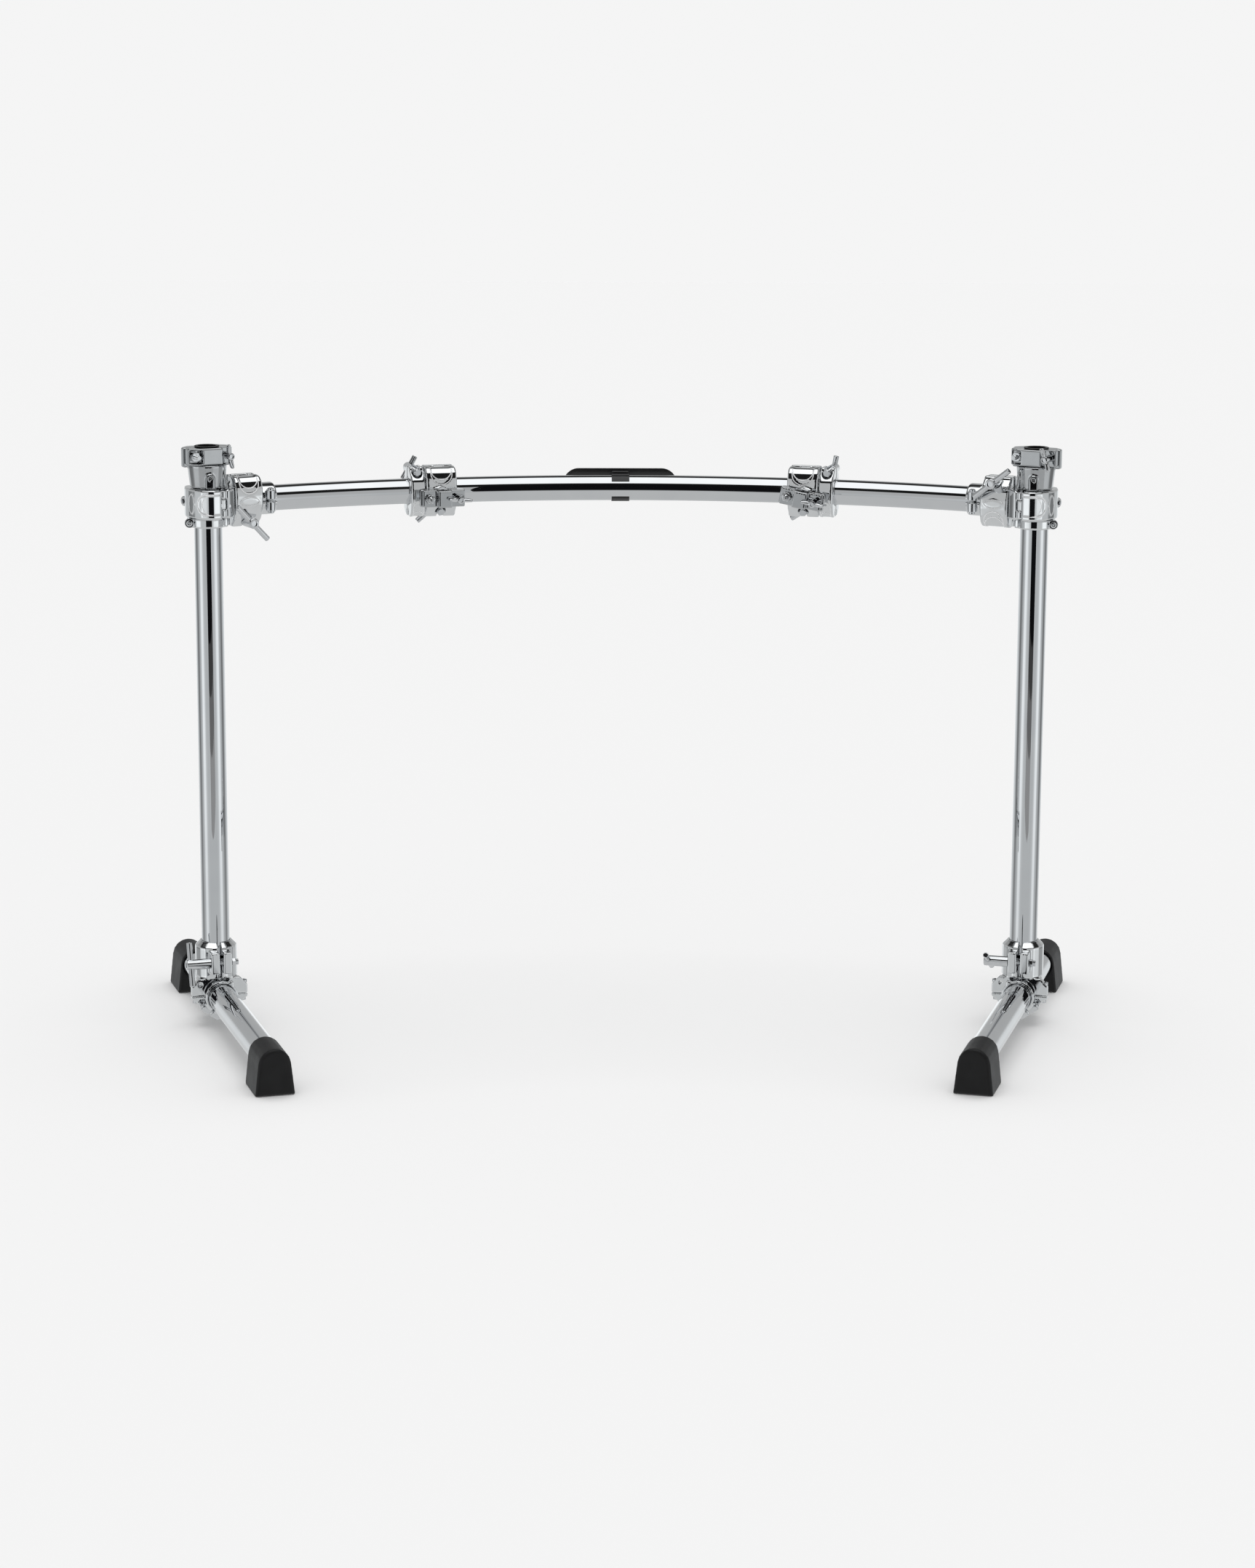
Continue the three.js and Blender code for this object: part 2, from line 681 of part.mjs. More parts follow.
// The socket over the top of the upright: cone, keyed lug, rib and the rear half of the collar.
function topSocketGeometry(side) {
  const shelfRadius = topCollar.bore - slideFit - bushingWall;
  const shelfFrom = poleTop + seatGap;
  const cone = turned(
    [
      [poleBore, socketFrom],
      [socketBottomRadius, socketFrom],
      [socketTopRadius, socketTo],
      [topCollar.bore, socketTo],
      [topCollar.bore, shelfFrom + socketShelf],
      [shelfRadius, shelfFrom + socketShelf],
      [shelfRadius, shelfFrom],
      [poleBore, shelfFrom],
      [poleBore, socketFrom],
    ],
    tubeSides,
  );
  const rear = collarRearGeometry(topCollar).translate(0, 0, collarMiddle).rotateZ(-side * collarYaw);
  const lugRadius = socketLugWidth / 2;
  const lugCentre = socketFrom + socketLugHeight - lugRadius;
  const lugShape = new THREE.Shape();
  lugShape.moveTo(-lugRadius, socketFrom);
  lugShape.lineTo(lugRadius, socketFrom);
  lugShape.absarc(0, lugCentre, lugRadius, 0, Math.PI, false);
  lugShape.holes.push(oval(0, lugCentre, socketLugHoleRadius, socketLugHoleRadius));
  const rootRadius = (poleBore + socketBottomRadius) / 2;
  const lug = prism(lugShape, rootRadius, socketBottomRadius + socketLugThickness)
    .rotateX(Math.PI / 2)
    .rotateZ((-side * collarYaw) / 2);
  const ribShape = outlineOf([
    [rootRadius, socketFrom],
    [socketBottomRadius + socketRibReach, socketFrom],
    [socketBottomRadius + socketRibReach / 2, socketFrom + socketLugHeight],
    [socketTopRadius, socketTo],
    [rootRadius, socketTo],
  ]);
  const ribTurn = side > 0 ? Math.PI + collarYaw : -collarYaw;
  const rib = prism(ribShape, -socketRibThickness / 2, socketRibThickness / 2).rotateX(Math.PI / 2).rotateZ(ribTurn);
  return joined(cone, cut(rear, rod(topCollar.bore, socketFrom, collarTop + overrun, boreSides)), lug, rib);
}

function bushingGeometry() {
  const outer = topCollar.bore - slideFit;
  const inner = outer - bushingWall;
  const lip = topCollar.bore + bushingLip;
  const lipFrom = collarTop + seatGap;
  const lipTo = collarTop + bushingRise;
  return turned(
    [[inner, bushingFrom], [outer, bushingFrom], [outer, lipFrom], [lip, lipFrom], [lip, lipTo], [inner, lipTo], [inner, bushingFrom]],
    boreSides,
  );
}

// A clamp is drawn with its bore along z. These turns lay the bore along the bar, with the hinge above or below.
function hingeAbove(geometry) {
  return geometry.rotateY(Math.PI / 2);
}

function hingeBelow(geometry) {
  return geometry.rotateY(-Math.PI / 2);
}

// The ring on the upright opens away from the arm.
function roundUpright(geometry) {
  return geometry.rotateX(Math.PI).rotateZ(poleHingeAngle + Math.PI).translate(-cornerArm, 0, 0);
}

// Both fixed ring halves and the arm between them. The bar runs along x with the upright at -x.
function cornerBodyGeometry() {
  const reach = cornerArm + poleRing.earReach;
  const ringEnd = -barRingWidth / 2;
  const jawRoom = block(ringEnd - seatGap, reach, -reach, clampSplit / 2, -reach, reach);
  const pole = cut(roundUpright(turnedOver(pinnedHalfGeometry(poleRing))), jawRoom);
  const bar = hingeAbove(turnedOver(pinnedHalfGeometry(barRing)));
  const armHalf = (barRing.bore * 2 * armHeightShare) / 2;
  const armStart = -cornerArm + poleBore + clampWall / 4;
  const front = block(armStart, ringEnd - seatGap, -barRing.bore, barRing.bore, -armHalf, armHalf);
  const back = block(armStart, ringEnd + clampWall / 2, clampSplit, barRing.outer - clampBevel, -armHalf, armHalf);
  const boreHole = rod(barRing.bore, ringEnd, -ringEnd, boreSides).rotateY(Math.PI / 2);
  const uprightHole = rod(poleBore, -poleRingWidth, poleRingWidth, boreSides).translate(-cornerArm, 0, 0);
  const arm = cut(joined(front, back), boreHole, uprightHole);
  return joined(pole, bar, arm);
}

// A key bolt through both ears of a clamp, its head on the jaw's ear and its nut behind.
function earBoltGeometry(clamp) {
  const ear = clampSplit / 2 + earThickness + seatGap;
  const shank = rod(rodRadius, -ear - nutThickness / 2, ear + nutThickness / 2);
  const head = rod(boltHeadRadius, ear, ear + nutThickness);
  const nut = rod(nutRadius, -ear - nutThickness, -ear, hexSides);
  return joined(shank, head, nut).rotateX(Math.PI / 2).translate(clamp.screwAt, 0, 0);
}

// The arc of the bar's axis, in the rack's own frame.
class BarArc extends THREE.Curve {
  constructor(reach) {
    super();
    this.reach = reach;
  }

  getPoint(t, target = new THREE.Vector3()) {
    const angle = (2 * t - 1) * this.reach;
    return target.set(
      barBendRadius * Math.sin(angle),
      bendCentreY + barBendRadius * Math.cos(angle),
      barHeight,
    );
  }
}

function circlePoints(radius, count) {
  const turn = (2 * Math.PI) / count;
  return Array.from({ length: count }, (_, i) =>
    new THREE.Vector2(radius * Math.cos(i * turn), radius * Math.sin(i * turn)),
  );
}

function curvedBarGeometry() {
  const reach = cornerAngle + (barRingWidth / 2 - barEndInset) / barBendRadius;
  const section = new THREE.Shape(circlePoints(barDiameter / 2, barSides));
  section.holes.push(new THREE.Path(circlePoints(barDiameter / 2 - barWall, barInnerSides)));
  return new THREE.ExtrudeGeometry(section, { steps: barSteps, extrudePath: new BarArc(reach) });
}

// The badge plate is bare. Its clip wraps the bar from behind and is open towards the player.
function badgeGeometry() {
  const end = badgeHeight / 2;
  const straight = badgeLength / 2 - end;
  const face = new THREE.Shape();
  face.absarc(straight, badgeRise, end, -Math.PI / 2, Math.PI / 2, false);
  face.absarc(-straight, badgeRise, end, Math.PI / 2, (3 * Math.PI) / 2, false);
  const barRadius = barDiameter / 2 + barFit;
  const outer = barRadius + clipThickness;
  const plate = prism(face, -outer - badgeThickness, -outer).rotateX(Math.PI / 2);
  const from = -Math.PI / 2 + clipTurn + clipOpening / 2;
  const to = from + 2 * Math.PI - clipOpening;
  const hook = new THREE.Shape();
  hook.absarc(0, 0, outer, from, to, false);
  hook.absarc(0, 0, barRadius, to, from, true);
  const clip = prism(hook, -clipWidth / 2, clipWidth / 2, boreSides).rotateY(Math.PI / 2).rotateX(Math.PI / 2);
  const pad = block(-clipWidth / 2, clipWidth / 2, barRadius + clipThickness / 2, outer + badgeThickness / 2, -end / 2, end / 2);
  return joined(plate, clip, pad);
}

const rack = new THREE.Group();
rack.name = "drum_rack_frame";

const bar = makeMesh("curved_bar", curvedBarGeometry(), chrome);
const badge = makeMesh("badge_plate", badgeGeometry(), blackPlastic);
badge.position.set(0, bendCentreY + barBendRadius, barHeight);
rack.add(bar, badge);

// A frame on the bar at an angle round the bend: x along the bar, y away from the player.
function frameOnBar(angle) {
  return groupAt(
    barBendRadius * Math.sin(angle),
    bendCentreY + barBendRadius * Math.cos(angle),
    barHeight,
    -angle,
  );
}

function addCorner(prefix, stance) {
  const { side } = stance;
  const seat = frameOnBar(side * cornerAngle);
  const clamp = new THREE.Group();
  clamp.rotation.y = side > 0 ? Math.PI : 0;
  seat.add(clamp);

  clamp.add(makeMesh(prefix + "corner_clamp_body", cornerBodyGeometry(), chrome));
  const poleJaw = roundUpright(jawGeometry(poleRing, { relief: true, badge: true }));
  clamp.add(makeMesh(prefix + "corner_pole_jaw", poleJaw, chrome));
  clamp.add(makeMesh(prefix + "corner_bar_jaw", hingeAbove(jawGeometry(barRing, { relief: true, badge: true })), chrome));

  const poleBolt = roundUpright(earBoltGeometry(poleRing));
  clamp.add(makeMesh(prefix + "corner_pole_bolt", poleBolt, chrome));

  const handle = new THREE.Group();
  handle.name = prefix + "corner_t_screw_axis";
  handle.position.set(0, -clampSplit / 2 - earThickness - seatGap - cornerSleeve, -barRing.screwAt);
  handle.rotation.x = -Math.PI / 2;
  const grip = 2 * earThickness + clampSplit + 2 * seatGap;
  const screw = makeMesh(prefix + "corner_bar_t_screw", tScrewGeometry(cornerSleeve, grip, longCrossbar), chrome);
  screw.rotation.z = stance.cornerHandle;
  handle.add(screw);
  clamp.add(handle);

  const lockStep = barRingWidth / 2 + ringSpacing + barLockWidth / 2;
  const lockSeat = frameOnBar(side * (cornerAngle - lockStep / barBendRadius));
  const lock = lockGeometry(barDiameter, barLockWidth, barFit).rotateZ(-Math.PI / 2).rotateY(Math.PI / 2);
  lockSeat.add(makeMesh(prefix + "bar_lock", lock, chrome));
  rack.add(seat, lockSeat);
}

function addUpright(prefix, stance) {
  const { side } = stance;
  const x = (side * uprightSpacing) / 2;
  const foot = groupAt(x, 0, 0, -side * toeAngle);
  const upright = groupAt(x, 0, 0);

  upright.add(makeMesh(prefix + "pole", tubeGeometry(poleDiameter, poleWall, poleBottom, poleTop), chrome));
  upright.add(makeMesh(prefix + "top_socket", topSocketGeometry(side), chrome));
  upright.add(makeMesh(prefix + "top_bushing", bushingGeometry(), blackPlastic));
  const lock = lockGeometry(poleDiameter, poleLockWidth, slideFit).rotateZ(stance.poleLock);
  lock.translate(0, 0, barHeight - poleRingWidth / 2 - seatGap - poleLockWidth / 2);
  upright.add(makeMesh(prefix + "pole_lock", lock, chrome));

  const collar = groupAt(0, 0, collarMiddle, -side * collarYaw);
  collar.add(makeMesh(prefix + "top_collar_jaw", collarJawGeometry(topCollar, { pocketed: true }), chrome));
  const hinge = makeMesh(prefix + "top_hinge_bolt", hingeBoltGeometry(topCollar), chrome);
  hinge.position.x = -topCollar.boltOffset;
  const wing = makeMesh(prefix + "top_wing_screw", wingScrewGeometry(topCollar), chrome);
  wing.position.x = topCollar.boltOffset;
  wing.rotation.y = stance.topWing;
  collar.add(hinge, wing);
  upright.add(collar);

  foot.add(makeMesh(prefix + "leg_clamp_body", legClampBodyGeometry(), chrome));
  foot.add(makeMesh(prefix + "leg_clamp_jaw", legClampJawGeometry(), chrome));
  const handle = new THREE.Group();
  handle.name = prefix + "leg_t_screw_axis";
  handle.position.set(legHandleX, legScrewY, legScrewHeight);
  handle.rotation.y = Math.PI / 2;
  const legGrip = legRingGap + 2 * legEarThickness + 2 * seatGap;
  const legScrew = makeMesh(prefix + "leg_clamp_t_screw", tScrewGeometry(legSleeve, legGrip, middleCrossbar), chrome);
  legScrew.rotation.z = stance.legHandle;
  handle.add(legScrew);
  foot.add(handle);

  const footLock = lockGeometry(footTubeDiameter, footLockWidth, slideFit).rotateZ(stance.footLock).rotateX(Math.PI / 2);
  footLock.translate(0, -legBarrelLength / 2 - seatGap - footLockWidth / 2, legAxisHeight);
  foot.add(makeMesh(prefix + "foot_tube_lock", footLock, chrome));

  const tubeInset = footEndWall + seatGap;
  const footTube = tubeGeometry(footTubeDiameter, footTubeWall, -rearReach + tubeInset, frontReach - tubeInset);
  footTube.rotateX(Math.PI / 2).translate(0, 0, legAxisHeight);
  foot.add(makeMesh(prefix + "foot_tube", footTube, chrome));
  const front = makeMesh(prefix + "front_foot", footGeometry(), blackRubber);
  front.rotation.z = Math.PI;
  front.position.y = -frontReach + footLength;
  const rear = makeMesh(prefix + "rear_foot", footGeometry(), blackRubber);
  rear.position.y = rearReach - footLength;
  foot.add(front, rear);
  rack.add(upright, foot);
}

// A wide ring with a swivelling collar in front, and beside it, further out, a narrow ring that holds its place.
function addAccessoryClamp(prefix, stance) {
  const { side } = stance;
  const wide = frameOnBar(side * stance.wideRing);
  const spacing = (wideRingWidth + narrowRingWidth) / 2 + ringSpacing;
  const narrow = frameOnBar(side * (stance.wideRing + spacing / barBendRadius));
  const grip = 2 * earThickness + clampSplit + 2 * seatGap;
  const handleY = clampSplit / 2 + earThickness + seatGap + cornerSleeve;

  const boss = rod(swivelRadius, wideRing.bore + clampWall / 2, wideRing.outer + swivelRise)
    .rotateX(Math.PI / 2)
    .translate(side * swivelOffset, 0, -swivelDrop);
  const front = joined(hingeAbove(pinnedHalfGeometry(wideRing, { relief: true })), boss);
  wide.add(makeMesh(prefix + "wide_clamp_body", front, chrome));
  wide.add(makeMesh(prefix + "wide_clamp_jaw", hingeAbove(turnedOver(jawGeometry(wideRing))), chrome));
  const wideHandle = new THREE.Group();
  wideHandle.name = prefix + "wide_t_screw_axis";
  wideHandle.position.set(0, handleY, -wideRing.screwAt);
  wideHandle.rotation.x = Math.PI / 2;
  const wideScrew = makeMesh(prefix + "wide_clamp_t_screw", tScrewGeometry(cornerSleeve, grip, middleCrossbar), chrome);
  wideScrew.rotation.z = stance.wideHandle;
  wideHandle.add(wideScrew);
  wide.add(wideHandle);

  narrow.add(makeMesh(prefix + "narrow_clamp_body", hingeBelow(pinnedHalfGeometry(narrowRing, { relief: true })), chrome));
  narrow.add(makeMesh(prefix + "narrow_clamp_jaw", hingeBelow(turnedOver(jawGeometry(narrowRing))), chrome));
  const narrowHandle = new THREE.Group();
  narrowHandle.name = prefix + "narrow_t_screw_axis";
  narrowHandle.position.set(0, handleY, narrowRing.screwAt);
  narrowHandle.rotation.x = Math.PI / 2;
  const narrowScrew = makeMesh(prefix + "narrow_clamp_t_screw", tScrewGeometry(cornerSleeve, grip, shortCrossbar), chrome);
  narrowScrew.rotation.z = stance.narrowHandle;
  narrowHandle.add(narrowScrew);
  narrow.add(narrowHandle);

  const accessory = new THREE.Group();
  accessory.name = prefix + "accessory_swivel";
  accessory.position.set(side * swivelOffset, accessoryY, -swivelDrop);
  accessory.rotation.y = stance.accessoryTilt;
  const rear = joined(
    collarRearGeometry(accessoryCollar, [1]),
    hingeBoltGeometry(accessoryCollar).translate(-accessoryCollar.boltOffset, 0, 0),
  );
  accessory.add(makeMesh(prefix + "accessory_body", rear, chrome));
  const jaw = collarJawGeometry(accessoryCollar, { pocketed: false });
  accessory.add(makeMesh(prefix + "accessory_jaw", jaw, chrome));
  const wing = makeMesh(prefix + "accessory_wing_screw", wingScrewGeometry(accessoryCollar), chrome);
  wing.position.x = accessoryCollar.boltOffset;
  wing.rotation.y = stance.accessoryWing;
  accessory.add(wing);
  wide.add(accessory);
  rack.add(wide, narrow);
}

for (const [prefix, stance] of Object.entries(sides)) {
  addCorner(prefix, stance);
  addUpright(prefix, stance);
  addAccessoryClamp(prefix, stance);
}

// The rack stands with the middle of its outline on the origin.
const extent = new THREE.Box3().setFromObject(rack, true);
const middle = extent.getCenter(new THREE.Vector3());
const placed = new THREE.Group();
rack.position.set(-middle.x, -middle.y, -extent.min.z);
placed.add(rack);

export default placed;
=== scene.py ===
import json
import math

import bpy
from mathutils import Matrix, Vector


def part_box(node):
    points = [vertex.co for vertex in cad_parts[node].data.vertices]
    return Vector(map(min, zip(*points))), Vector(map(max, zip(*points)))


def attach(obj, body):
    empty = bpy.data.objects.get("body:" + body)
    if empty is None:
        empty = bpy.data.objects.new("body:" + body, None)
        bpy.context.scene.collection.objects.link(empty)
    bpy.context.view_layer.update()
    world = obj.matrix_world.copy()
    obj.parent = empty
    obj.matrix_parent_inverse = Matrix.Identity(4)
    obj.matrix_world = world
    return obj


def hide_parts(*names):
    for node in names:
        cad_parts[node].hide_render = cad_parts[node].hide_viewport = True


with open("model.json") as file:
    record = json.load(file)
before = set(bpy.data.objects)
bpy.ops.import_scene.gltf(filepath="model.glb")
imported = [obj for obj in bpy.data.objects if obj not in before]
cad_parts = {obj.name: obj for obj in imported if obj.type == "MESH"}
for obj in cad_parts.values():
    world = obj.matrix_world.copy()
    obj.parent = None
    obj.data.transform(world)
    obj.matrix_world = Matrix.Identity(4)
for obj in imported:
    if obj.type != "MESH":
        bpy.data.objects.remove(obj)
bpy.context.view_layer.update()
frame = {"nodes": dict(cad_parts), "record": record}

nodes = frame["nodes"]
behaviour = frame["record"]["behaviour"]
bodyOfNode = {node: body for body, held in behaviour["bodies"].items() for node in held}
joints = {joint["name"]: joint for joint in behaviour["joints"]}
sides = ("left_", "right_")
print("frame loaded:", len(nodes), "nodes")

# used by every piece: distances for welding and picking, crease angles in degrees, how flat a flat end is
shop = {
    "weld": 0.000004, "spunWeld": 0.000002, "tiny": 0.00001,
    "crease": 40, "wireCrease": 60, "flatEnd": 0.9, "nearShare": 0.9, "softening": 0.5,
}
# how many sides each kind of bar has
roundness = {"hexagon": 6, "rod": 28, "shank": 32, "small": 40, "large": 48, "sleeve": 56, "tube": 96}


def deselectAll():
    if bpy.context.object and bpy.context.object.mode != "OBJECT":
        bpy.ops.object.mode_set(mode="OBJECT")
    bpy.ops.object.select_all(action="DESELECT")


def useOnly(piece):
    deselectAll()
    piece.select_set(True)
    bpy.context.view_layer.objects.active = piece


def editAll(piece):
    useOnly(piece)
    bpy.ops.object.mode_set(mode="EDIT")
    bpy.ops.mesh.select_all(action="SELECT")


def leaveEdit():
    bpy.ops.object.mode_set(mode="OBJECT")


def pick(piece, kind, wanted):
    # marks the faces or vertices that pass the test, and stays in edit mode
    useOnly(piece)
    bpy.ops.object.mode_set(mode="EDIT")
    bpy.ops.mesh.select_mode(type=kind)
    bpy.ops.mesh.select_all(action="DESELECT")
    bpy.ops.object.mode_set(mode="OBJECT")
    for item in (piece.data.polygons if kind == "FACE" else piece.data.vertices):
        item.select = wanted(item)
    bpy.ops.object.mode_set(mode="EDIT")


def pickEnd(piece, sign):
    # the flat end that looks along +Z or -Z
    pick(piece, "FACE", lambda face: face.normal.z * sign > shop["flatEnd"])


def extrudeBy(*way):
    bpy.ops.mesh.extrude_region_move(TRANSFORM_OT_translate={"value": way})


def sinkEnd(piece, sign, rim, depth):
    # a round recess in the flat end
    pickEnd(piece, sign)
    bpy.ops.mesh.inset(thickness=rim)
    extrudeBy(0, 0, -sign * depth)
    leaveEdit()


def applyModifiers(piece):
    useOnly(piece)
    for modifier in list(piece.modifiers):
        bpy.ops.object.modifier_apply(modifier=modifier.name)


def roundEdges(piece, width, segments=3, angle=shop["crease"]):
    bevel = piece.modifiers.new("edges", "BEVEL")
    bevel.width = width
    bevel.segments = segments
    bevel.limit_method = "ANGLE"
    bevel.angle_limit = math.radians(angle)
    bevel.harden_normals = False
    applyModifiers(piece)


def smoothBy(piece, angle=shop["crease"], weighted=True):
    useOnly(piece)
    bpy.ops.object.shade_smooth_by_angle(angle=math.radians(angle))
    if weighted:
        weights = piece.modifiers.new("weights", "WEIGHTED_NORMAL")
        weights.keep_sharp = True
        applyModifiers(piece)


def settle(piece):
    # the place goes into the mesh, so that the object sits at the origin
    useOnly(piece)
    bpy.ops.object.transform_apply(location=True, rotation=True, scale=True)


def named(piece, name):
    piece.name = name
    piece.data.name = name
    return piece


def cylinder(name, radius, start, end, kind):
    start, end = Vector(start), Vector(end)
    along = end - start
    deselectAll()
    bpy.ops.mesh.primitive_cylinder_add(
        vertices=roundness[kind], radius=radius, depth=along.length, location=(start + end) / 2
    )
    piece = bpy.context.object
    piece.rotation_euler = along.to_track_quat("Z", "Y").to_euler()
    settle(piece)
    return named(piece, name)


def block(name, size, middle):
    deselectAll()
    bpy.ops.mesh.primitive_cube_add(size=1, location=middle)
    piece = named(bpy.context.object, name)
    piece.scale = size
    settle(piece)
    return piece


def spinShut(piece, steps, angle, centre, axis):
    # turns a flat profile round, with its face left to close both ends
    editAll(piece)
    bpy.ops.mesh.spin(steps=steps, angle=angle, center=centre, axis=axis)
    bpy.ops.mesh.select_all(action="SELECT")
    bpy.ops.mesh.remove_doubles(threshold=shop["spunWeld"])
    bpy.ops.mesh.normals_make_consistent(inside=False)
    leaveEdit()


def joinPieces(name, pieces):
    deselectAll()
    for piece in pieces:
        piece.select_set(True)
    bpy.context.view_layer.objects.active = pieces[0]
    bpy.ops.object.join()
    return named(bpy.context.object, name)


def placedCopy(model, name, matrix):
    copy = bpy.data.objects.new(name, model.data.copy())
    bpy.context.scene.collection.objects.link(copy)
    copy.data.transform(matrix)
    copy.data.name = name
    return copy


def dropModel(model):
    mesh = model.data
    bpy.data.objects.remove(model)
    bpy.data.meshes.remove(mesh)


def dress(piece, material, body, slot, *replaced):
    piece.data.materials.clear()
    piece.data.materials.append(material)
    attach(piece, body)
    if replaced:
        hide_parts(*replaced)
    return piece


def addNode(tree, kind, inputs=None, **settings):
    # an input that is given a socket is linked, any other is set
    node = tree.nodes.new(kind)
    for setting, value in settings.items():
        setattr(node, setting, value)
    for label, value in (inputs or {}).items():
        if isinstance(value, bpy.types.NodeSocket):
            tree.links.new(value, node.inputs[label])
        else:
            node.inputs[label].default_value = value
    return node


def mixed(tree, factor, low, high):
    return addNode(
        tree, "ShaderNodeMix", {"Factor": factor, "A": low, "B": high}, data_type="RGBA"
    ).outputs["Result"]


def calculated(tree, operation, *values):
    return addNode(
        tree, "ShaderNodeMath", dict(enumerate(values)), operation=operation
    ).outputs["Value"]


def newGroup(name, inputs):
    # every shared effect gives a colour, a roughness and a height
    group = bpy.data.node_groups.new(name, "ShaderNodeTree")
    for label, value in inputs.items():
        kind = "NodeSocketColor" if isinstance(value, tuple) else "NodeSocketFloat"
        socket = group.interface.new_socket(name=label, in_out="INPUT", socket_type=kind)
        socket.default_value = value
    for label in ("Color", "Roughness", "Height"):
        kind = "NodeSocketColor" if label == "Color" else "NodeSocketFloat"
        group.interface.new_socket(name=label, in_out="OUTPUT", socket_type=kind)
    return group, group.nodes.new("NodeGroupInput").outputs


def giveOut(group, color, roughness, height):
    given = group.nodes.new("NodeGroupOutput").inputs
    for label, socket in (("Color", color), ("Roughness", roughness), ("Height", height)):
        group.links.new(socket, given[label])


plating = {
    "patchDetail": 5, "patchFrom": 0.35, "patchTo": 0.7, "waveScale": 34, "waveDetail": 1,
    "hollowFrom": 0.488, "hollowTo": 0.44, "grime": (0.03, 0.03, 0.032, 1),
}


def platingGroup():
    # faint patches and waves of a plated surface; the hollows are darkened with painted shade, and a little old
    # polish and dust
    group, taken = newGroup("platingWear", {
        "Scale": 60.0, "Dull": (0.70, 0.71, 0.73, 1), "Bright": (0.86, 0.87, 0.88, 1),
        "Low": 0.03, "High": 0.09, "Crevice": 0.0,
    })
    place = addNode(group, "ShaderNodeTexCoord").outputs["Object"]
    patches = addNode(group, "ShaderNodeTexNoise", {
        "Vector": place, "Scale": taken["Scale"], "Detail": plating["patchDetail"],
    }).outputs["Fac"]
    metal = mixed(group, patches, taken["Dull"], taken["Bright"])
    spread = addNode(group, "ShaderNodeMapRange", {
        "Value": patches, "From Min": plating["patchFrom"], "From Max": plating["patchTo"],
        "To Min": taken["Low"], "To Max": taken["High"],
    }).outputs["Result"]
    waves = addNode(group, "ShaderNodeTexNoise", {
        "Vector": place, "Scale": plating["waveScale"], "Detail": plating["waveDetail"],
    }).outputs["Fac"]
    # concave places, found by pointiness, get painted shade with some dust
    hollow = addNode(group, "ShaderNodeMapRange", {
        "Value": addNode(group, "ShaderNodeNewGeometry").outputs["Pointiness"],
        "From Min": plating["hollowFrom"], "From Max": plating["hollowTo"],
    }).outputs["Result"]
    creviceShadeAndDust = calculated(group, "MULTIPLY", hollow, taken["Crevice"])
    giveOut(group, mixed(group, creviceShadeAndDust, metal, plating["grime"]), spread, waves)
    return group


moulding = {"cloudScale": 45, "cloudDetail": 6}


def grainGroup():
    # moulded rubber and plastic: a pebbled skin with a little dust in it
    group, taken = newGroup("mouldedGrain", {
        "Grain": 900.0, "Dark": (0.012, 0.012, 0.013, 1), "Light": (0.05, 0.05, 0.052, 1),
        "Low": 0.45, "High": 0.7,
    })
    place = addNode(group, "ShaderNodeTexCoord").outputs["Object"]
    pebble = addNode(group, "ShaderNodeTexVoronoi", {"Vector": place, "Scale": taken["Grain"]})
    cloud = addNode(group, "ShaderNodeTexNoise", {
        "Vector": place, "Scale": moulding["cloudScale"], "Detail": moulding["cloudDetail"],
    }).outputs["Fac"]
    spread = addNode(group, "ShaderNodeMapRange", {
        "Value": cloud, "To Min": taken["Low"], "To Max": taken["High"],
    }).outputs["Result"]
    dusty = mixed(group, cloud, taken["Dark"], taken["Light"])
    giveOut(group, dusty, spread, pebble.outputs["Distance"])
    return group


platingWear = platingGroup()
mouldedGrain = grainGroup()


def surface(name, group, values, bump, metallic=0.0, specular=0.5):
    material = bpy.data.materials.new(name)
    material.use_nodes = True
    tree = material.node_tree
    shader = tree.nodes["Principled BSDF"].inputs
    shader["Metallic"].default_value = metallic
    shader["Specular IOR Level"].default_value = specular
    effect = addNode(tree, "ShaderNodeGroup", node_tree=group)
    for label, value in values.items():
        effect.inputs[label].default_value = value
    strength, distance = bump
    relief = addNode(tree, "ShaderNodeBump", {
        "Strength": strength, "Distance": distance, "Height": effect.outputs["Height"],
    })
    tree.links.new(effect.outputs["Color"], shader["Base Color"])
    tree.links.new(effect.outputs["Roughness"], shader["Roughness"])
    tree.links.new(relief.outputs["Normal"], shader["Normal"])
    return material


# bump is its strength and its distance
tubeChrome = surface("tubeChrome", platingWear, {
    "Scale": 26.0, "Low": 0.008, "High": 0.03,
    "Dull": (0.66, 0.67, 0.69, 1), "Bright": (0.73, 0.74, 0.75, 1),
}, bump=(0.01, 0.001), metallic=1.0)
# the castings darken their hollows with painted shade and a little dust
castChrome = surface("castChrome", platingWear, {
    "Scale": 70.0, "Low": 0.025, "High": 0.07, "Crevice": 0.85,
    "Dull": (0.74, 0.75, 0.76, 1), "Bright": (0.84, 0.85, 0.86, 1),
}, bump=(0.09, 0.001), metallic=1.0)
# a darker copy of the casting chrome: painted shade on the collar, socket and accessory castings
collarChrome = surface("collarChrome", platingWear, {
    "Scale": 70.0, "Low": 0.025, "High": 0.07, "Crevice": 0.9,
    "Dull": (0.46, 0.47, 0.48, 1), "Bright": (0.56, 0.57, 0.58, 1),
}, bump=(0.12, 0.001), metallic=1.0)
# pale and rough, so that the thin rims and relief lines read white whichever way they face: a painted highlight
satinChrome = surface("satinChrome", platingWear, {
    "Scale": 160.0, "Low": 0.34, "High": 0.5,
    "Dull": (0.90, 0.91, 0.92, 1), "Bright": (0.97, 0.97, 0.98, 1),
}, bump=(0.05, 0.0003), metallic=0.45)
